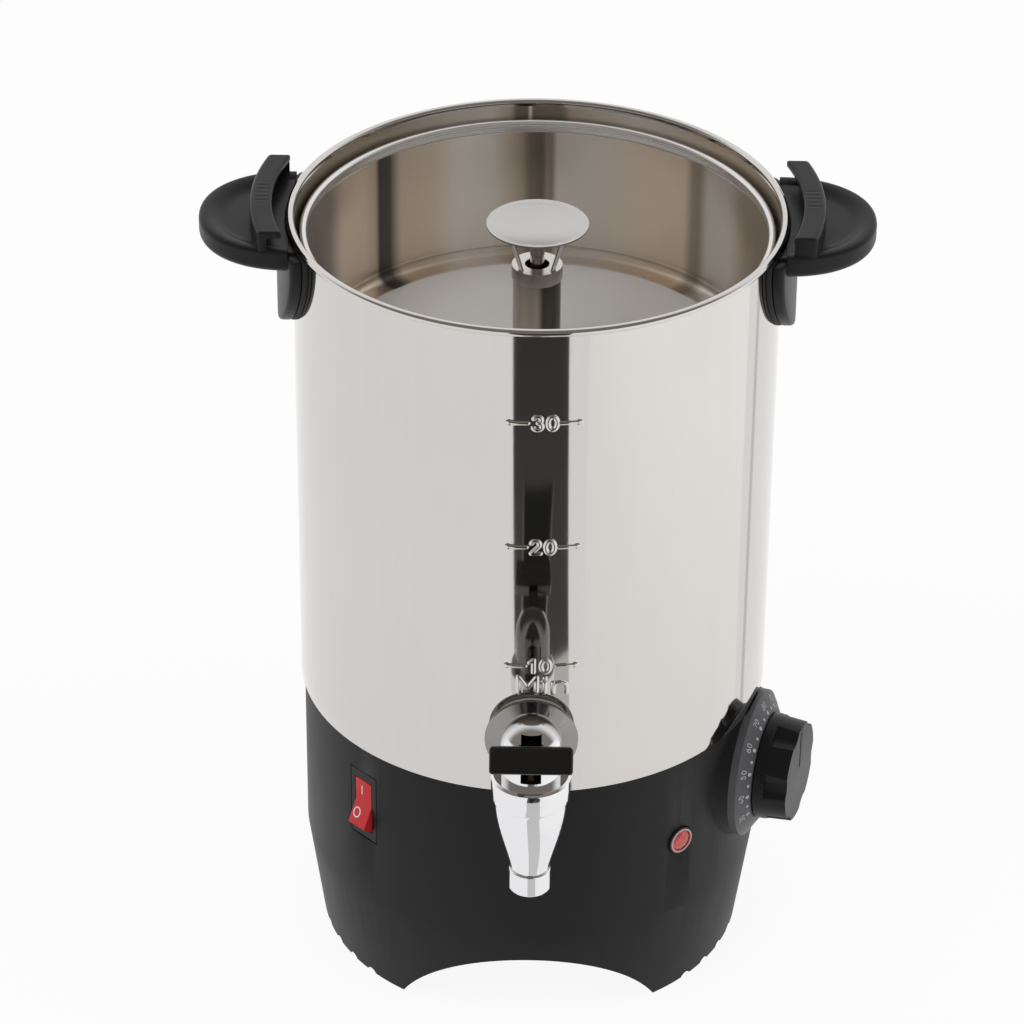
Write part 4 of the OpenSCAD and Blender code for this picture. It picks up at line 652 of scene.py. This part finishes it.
def basketWall():
    # A closed profile carried round the axis: the foot, a quarter circle, the wall, the rolled bead and back
    b = basket
    q = np.radians(np.linspace(-90, 0, 11))
    bend = np.stack([np.cos(q), np.sin(q)], -1)
    centre = np.array([b["inR"] - b["corner"], b["floor"] + b["corner"]])
    meet = math.acos((b["inR"] - b["outR"]) / b["beadR"])
    turn = np.linspace(2 * math.pi - meet, -math.pi / 2, 26)
    bead = np.stack([b["outR"] + b["beadR"] * np.cos(turn), b["rim"] + b["beadR"] * np.sin(turn)], -1)
    wallZ = np.array([*b["rows"][:2], b["bright"] - 0.2, b["bright"], b["bright"] + 0.6])
    inside = np.stack([b["inR"] + np.array([0, 0, 0, 0.12, 0.15]), wallZ], -1)
    outside = [(b["outR"], b["rows"][2]), (b["outR"], b["rows"][0])]
    outerBend = centre + bend[::-1] * (b["corner"] + b["sheet"])
    return np.concatenate([[(b["footR"], b["floor"])], centre + bend * b["corner"], inside, bead, outside,
                           outerBend, [(b["footR"], b["floor"] - b["sheet"])]])


basketPiece = makePiece("basketWallTurned", [turned(basketWall(), 192)], "basket", basketSteel,
                        ("basket_wall",), sharp=30)
paintFaces(basketPiece, rimSteel, lambda c: c[:, 2] > basket["bright"])
paintFaces(basketPiece, finishes["inner_steel"],
           lambda c: (np.hypot(c[:, 0], c[:, 1]) > basket["outR"] - 0.1) & (c[:, 2] < basket["bright"] + 1))
print("basket wall:", len(basketPiece.data.polygons), "faces")


dial = {"angle": 71.4, "height": 93.3, "top": 106.8, "topR": 24.4, "slope": 4.6 / 7.6, "zero": 204.0,
        "perDegree": 2.35, "first": 30, "last": 110, "dotR": 25.75, "big": 0.82, "small": 0.62,
        "numberR": 27.5, "size": 2.5, "pen": 0.16, "raised": 0.07}


def ribbon(points, half):
    # Four corners round each point of a line, half a width to each side: sideways and the share of the height
    step = np.gradient(np.asarray(points, float), axis=0)
    side = np.stack([-step[:, 1], step[:, 0]], -1)
    side /= np.maximum(np.linalg.norm(side, axis=1), 1e-9)[:, None]
    right, left = points + side * half, points - side * half
    flat = np.stack([right, right, left, left], 1)
    return flat, np.broadcast_to(np.array([0.0, 1.0, 1.0, 0.0]), flat.shape[:2])


def onCone(flat, share, turn):
    # Sideways and outwards from the dial's axis, turned by an angle, and laid on the dial's slope
    d = dial
    t = math.radians(turn)
    u, v = flat[..., 0], flat[..., 1]
    x, y = math.cos(t) * v + math.sin(t) * u, math.sin(t) * v - math.cos(t) * u
    out = d["top"] - d["slope"] * (np.hypot(x, y) - d["topR"]) + (2 * share - 1) * d["raised"]
    return lie(np.stack([x, y, out], -1), d["angle"], d["height"])


def dialPrint():
    # Numbers every ten degrees with a large dot, and a small dot half way
    sheets = []
    for value in range(dial["first"], dial["last"] + 1, 5):
        turn = dial["zero"] - dial["perDegree"] * (value - dial["first"])
        radius = dial["small"] if value % 10 else dial["big"]
        ring = ellipse(0, dial["dotR"], radius, radius, 0, 345, 24)
        disc = np.stack([ring, ring])
        sheets.append(sheetOf(onCone(disc, np.array([[0.0], [1.0]]), turn), wrapCols=True, capRows=True))
        if value % 10 == 0:
            for stroke in wordStrokes(str(value), dial["size"], 0.0, dial["numberR"]):
                flat, share = ribbon(stroke, dial["pen"])
                sheets.append(sheetOf(onCone(flat, share, turn), wrapCols=True, capRows=True))
    return sheets


makePiece("dialScalePrint", dialPrint(), "urn", printGrey, weld=1e-7)


rocker = {"angle": -46.0, "height": 94.0, "pivot": 93.8, "face": 4.5, "tilt": 12.0, "aside": -0.9,
          "ringAside": -1.9, "line": (4.8, 9.2), "ring": -6.3, "ringR": (1.8, 2.15), "pen": 0.27,
          "raised": 0.05}


def onRocker(flat, share, half):
    # A place on one of the rocker's two faces, turned about its pivot: half is 1 for the upper face, -1 below
    t = math.radians((half - 1) * rocker["tilt"])
    x, y, d = flat[..., 0], flat[..., 1], rocker["face"] + (2 * share - 1) * rocker["raised"]
    up, out = y * math.cos(t) - d * math.sin(t), y * math.sin(t) + d * math.cos(t)
    return lie(np.stack([np.broadcast_to(x, up.shape), up, rocker["pivot"] + out], -1), rocker["angle"],
               rocker["height"])


def rockerMarks():
    # An upright line above and a ring below
    r = rocker
    flat, share = ribbon(np.stack([np.full(5, r["aside"]), np.linspace(*r["line"], 5)], -1), r["pen"])
    line = sheetOf(onRocker(flat, share, 1), wrapCols=True, capRows=True)
    flat, share = ribbon(ellipse(r["ringAside"], r["ring"], *r["ringR"], 0, 352, 45), r["pen"])
    return [line, sheetOf(onRocker(flat, share, -1), wrapRows=True, wrapCols=True)]


makePiece("rockerMarks", rockerMarks(), "power_rocker", markWhite, weld=1e-7)


lamp = {"angle": 40.2, "height": 82.7, "face": 99.3, "rimR": 5.25, "rim": 0.42}


def lampRim():
    # A small ring round the lens: a circle carried round a line that points outwards from the tank
    circle = ellipse(lamp["rimR"], lamp["face"], lamp["rim"], lamp["rim"], 0, 330, 12)
    points, faces = turned(circle, 64)
    return lie(points, lamp["angle"], lamp["height"]), faces


makePiece("lampLensRim", [lampRim()], "urn", paleLens)
print("dial print, rocker marks and lamp rim made")


# The width of each node's rounded edges in mm, body by body, where 0 rounds none; and the least length that
# an edge has to have
softEdges = {
    "urn": {"base_shell": 0.9, "bottom_cover": 0.5, "heat_shield": 0.0, "heat_plate": 0.5, "dial_plate": 0.6,
            "switch_housing": 0.6, "lamp_housing": 0.4, "lamp_lens": 0.4, "inlet_housing": 0.5,
            "inlet_pins": 0.3, "terminal_block": 0.4, "thermostat_body": 0.5, "boil_dry_cutout": 0.3,
            "stud_nuts": 0.3, "thermostat_screws": 0.3, "handle_screws": 0.3, "tap_body": 0.5,
            "tap_flange": 0.5, "tap_bonnet": 0.4, "tap_spout": 0.7, "tap_nut": 0.3, "tank_floor": 0.3,
            "tap_spring": 0.0},
    "temperature_knob": {"knob": 0.9, "knob_spindle": 0.3},
    "power_rocker": {"rocker": 0.5},
    "tap_lever": {"tap_lever": 1.3},
    "tap_valve": {"tap_stem": 0.2},
    "basket": {"basket_sleeve": 0.1, "spreader_collar": 0.15, "spreader_disc": 0.15},
    "pump": {"pump_tube": 0.1, "pump_bell": 0.2},
}
longEdges = {"tap_lever": 6.0}
ownFinish = {"tap_flange": flangeDarkReflectionChrome, "tap_bonnet": bonnetChrome, "basket_sleeve": sleeveSteel}
dressed = {}
for bodyName, widths in softEdges.items():
    for nodeName, width in widths.items():
        slotName = slotOf[nodeName]
        finish = ownFinish.get(nodeName, finishes[slotName])
        least = longEdges.get(nodeName, 0)
        dressed[nodeName] = softNode(nodeName, bodyName, finish, width, least)
cadNodes["basket_floor"].data.materials[0] = meshSteel
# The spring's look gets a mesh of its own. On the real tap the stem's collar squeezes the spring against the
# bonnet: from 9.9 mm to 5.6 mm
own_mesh(dressed["tap_spring"])
print("nodes dressed:", len(dressed))


studio = {"cameraPlace": (0.0, -1.539, 1.1485), "pitch": 31.69, "yaw": -0.35, "roll": 0.52, "lens": 149.77,
          "plain": 0.78, "front": (0.22, 0.195, 0.17), "matt": 0.92, "floorGlow": 0.9, "cardStart": 0.0993,
          "cardSlope": 0.971}
white = (1, 1, 1, 1)
# The shapes that the mirror steel shows: wedges on the floor in front, from a near to a far distance from
# the tank, with a half width that grows with it, and their brightness near and far
cards = {
    "cardPale": {"span": (0.05, 0.285), "half": (0.011, 0.2235), "aside": (0.027, 0.0), "lift": 0.0010,
                 "glow": (0.66, 0.60), "colour": (1, 0.985, 0.97)},
    "cardGrey": {"span": (0.285, 0.75), "half": (0.011, 0.2235), "aside": (0.027, 0.0), "lift": 0.0015,
                 "glow": (0.075, 0.034), "colour": (1, 0.97, 0.95)},
    "cardLine": {"span": (0.300, 0.457), "half": (-0.0232, 0.1880), "aside": (-0.0312, 0.106), "lift": 0.0020,
                 "glow": (0.32, 0.10), "colour": (1, 0.98, 0.95)},
    "cardDark": {"span": (0.300, 0.455), "half": (-0.0237, 0.1796), "aside": (-0.0312, 0.106), "lift": 0.0025,
                 "glow": (0.018, 0.016), "colour": (1, 1, 1)},
    "cardBrown": {"span": (0.300, 0.345), "half": (0.0030, 0.0), "aside": (0.006, 0.0), "lift": 0.0030,
                  "glow": (0.20, 0.20), "colour": (1, 0.62, 0.2)},
}
# Behind the wedges a dark upright sheet; to the right a pale line and a bright part of the floor
standing = {"y": -0.83, "half": 0.185, "high": 0.42, "glow": 0.05}
seam = {"from": (0.0886, -0.0463), "along": (0.785, 0.619), "span": (0.17, 0.68), "half": (0.006, 0.018),
        "glow": 0.72}
brightSide = {"corners": ((0.09, -0.24), (0.55, -1.25), (1.5, -1.25), (1.5, 0.7), (0.16, 0.0)),
              "reach": (0.09, 0.55), "glow": (1.0, 1.16), "lift": 0.0006}


def makeCamera():
    # Looks along the pitch and yaw, and is then rolled about that line
    p, y, r = (math.radians(studio[k]) for k in ("pitch", "yaw", "roll"))
    ahead = Vector((math.sin(y) * math.cos(p), math.cos(y) * math.cos(p), -math.sin(p)))
    side = Vector((math.cos(y), -math.sin(y), 0))
    up = side.cross(ahead)
    sideTurned = math.cos(r) * side + math.sin(r) * up
    upTurned = -math.sin(r) * side + math.cos(r) * up
    data = bpy.data.cameras.new("camera")
    data.lens = studio["lens"]
    data.sensor_width = 36
    data.clip_end = 20
    cam = bpy.data.objects.new("camera", data)
    turn = Matrix((sideTurned, upTurned, -ahead)).transposed().to_4x4()
    cam.matrix_world = Matrix.Translation(studio["cameraPlace"]) @ turn
    bpy.context.scene.collection.objects.link(cam)
    bpy.context.scene.camera = cam


def emptyTree(owner):
    owner.use_nodes = True
    owner.node_tree.nodes.clear()
    return owner.node_tree


def makeWorld():
    # White to the eye; plain grey to matt surfaces; to shiny ones a white room, dim and warm in front above
    world = bpy.data.worlds.new("room")
    bpy.context.scene.world = world
    tree = emptyTree(world)
    path = addNode(tree, "LightPath").outputs
    place = addNode(tree, "TexCoord").outputs["Generated"]
    axis = addNode(tree, "SeparateXYZ", {0: place}).outputs
    back = rangeOf(tree, axis["Y"], -0.15, 0.45, kind="SMOOTHSTEP")
    low = rangeOf(tree, axis["Z"], 0.18, 0.02, kind="SMOOTHSTEP")
    tinted = mixOf(tree, mathOf(tree, "MAXIMUM", back, low), (*studio["front"], 1), white)
    plain = addNode(tree, "Background", {"Color": white, "Strength": studio["plain"]})
    shiny = addNode(tree, "Background", {"Color": tinted, "Strength": 1.0})
    seen = addNode(tree, "Background", {"Color": white, "Strength": 1.0})
    toShiny = addNode(tree, "MixShader", {0: path["Is Glossy Ray"], 1: plain, 2: shiny})
    direct = mathOf(tree, "MAXIMUM", path["Is Camera Ray"], path["Is Transmission Ray"])
    addNode(tree, "OutputWorld", {0: addNode(tree, "MixShader", {0: direct, 1: toShiny, 2: seen})})


def stageMesh(name, corners, material):
    # A flat stage sheet from its corners in metres
    mesh = bpy.data.meshes.new(name)
    mesh.from_pydata([tuple(c) for c in corners], [], [list(range(len(corners)))])
    obj = bpy.data.objects.new(name, mesh)
    mesh.materials.append(material)
    bpy.context.scene.collection.objects.link(obj)
    return obj


def makeFloor():
    # White to the eye and in reflections, with a part that takes the shadow
    mat = bpy.data.materials.new("floorWhite")
    tree = emptyTree(mat)
    path = addNode(tree, "LightPath").outputs
    matt = addNode(tree, "BsdfDiffuse", {"Color": (studio["matt"],) * 3 + (1,)})
    glow = addNode(tree, "Emission", {"Color": white, "Strength": 1.0})
    direct = mathOf(tree, "MAXIMUM", path["Is Camera Ray"], path["Is Glossy Ray"])
    direct = mathOf(tree, "MAXIMUM", direct, path["Is Transmission Ray"])
    share = mathOf(tree, "MULTIPLY", direct, studio["floorGlow"])
    addNode(tree, "OutputMaterial", {0: addNode(tree, "MixShader", {0: share, 1: matt, 2: glow})})
    stageMesh("floor", [(-6, -6, 0), (6, -6, 0), (6, 6, 0), (-6, 6, 0)], mat)


def makeCard(name, corners, colour, glow, reach=(0, 1), along="Y"):
    # A sheet seen only in reflections, whose brightness runs from its near to its far end along one axis
    mat = bpy.data.materials.new(name)
    tree = emptyTree(mat)
    place = addNode(tree, "TexCoord").outputs["Object"]
    axis = addNode(tree, "SeparateXYZ", {0: place}).outputs
    strength = rangeOf(tree, axis[along], *reach, *glow)
    shine = addNode(tree, "Emission", {"Color": (*colour, 1), "Strength": strength})
    addNode(tree, "OutputMaterial", {0: shine})
    card = stageMesh(name, corners, mat)
    card.visible_camera = card.visible_diffuse = card.visible_shadow = card.visible_transmission = False


def makeCards():
    # The wedges' corners lie at -(0.0993 + 0.971 span) along Y, a half width to each side of the middle; half
    # width and middle are each a start and a slope times the span
    for name, c in cards.items():
        y = [-(studio["cardStart"] + studio["cardSlope"] * span) for span in c["span"]]
        half = [c["half"][0] + c["half"][1] * span for span in c["span"]]
        shift = [c["aside"][0] + c["aside"][1] * span for span in c["span"]]
        corners = [(shift[0] - half[0], y[0], c["lift"]), (shift[0] + half[0], y[0], c["lift"]),
                   (shift[1] + half[1], y[1], c["lift"]), (shift[1] - half[1], y[1], c["lift"])]
        makeCard(name, corners, c["colour"], c["glow"], y)
    w, y, h, middle = standing["half"], standing["y"], standing["high"], cards["cardGrey"]["aside"][0]
    makeCard("cardStanding", [(middle - w, y, 0), (middle + w, y, 0), (middle + w, y, h), (middle - w, y, h)],
             (1, 0.97, 0.94), (standing["glow"],) * 2)
    makeCard("cardSide", [(*xy, brightSide["lift"]) for xy in brightSide["corners"]], (1, 0.995, 0.99),
             brightSide["glow"], brightSide["reach"], "X")
    start, ahead = Vector(seam["from"]), Vector(seam["along"])
    side = Vector((-ahead.y, ahead.x))
    near, far = (start + ahead * span for span in seam["span"])
    spots = [near - side * seam["half"][0], near + side * seam["half"][0],
             far + side * seam["half"][1], far - side * seam["half"][1]]
    makeCard("cardSeam", [(p.x, p.y, 0.002) for p in spots], (0.97, 0.98, 1), (seam["glow"],) * 2)


def makeLamp(name, place, aim, size, power):
    # A soft rectangle of light that no reflection shows
    data = bpy.data.lights.new(name, "AREA")
    data.shape = "RECTANGLE"
    data.size, data.size_y = size
    data.energy = power
    light = bpy.data.objects.new(name, data)
    light.location = place
    light.rotation_euler = (Vector(aim) - Vector(place)).to_track_quat("-Z", "Y").to_euler()
    light.visible_glossy = False
    bpy.context.scene.collection.objects.link(light)


makeCamera()
makeWorld()
makeFloor()
makeCards()
makeLamp("keyLamp", (-1.1, -1.0, 1.9), (0, 0, 0.15), (1.2, 1.2), 9)
makeLamp("sideLamp", (1.7, -0.5, 0.9), (0, 0, 0.15), (0.9, 1.4), 8)
bpy.context.scene.view_settings.view_transform = "Standard"
print("stage set")
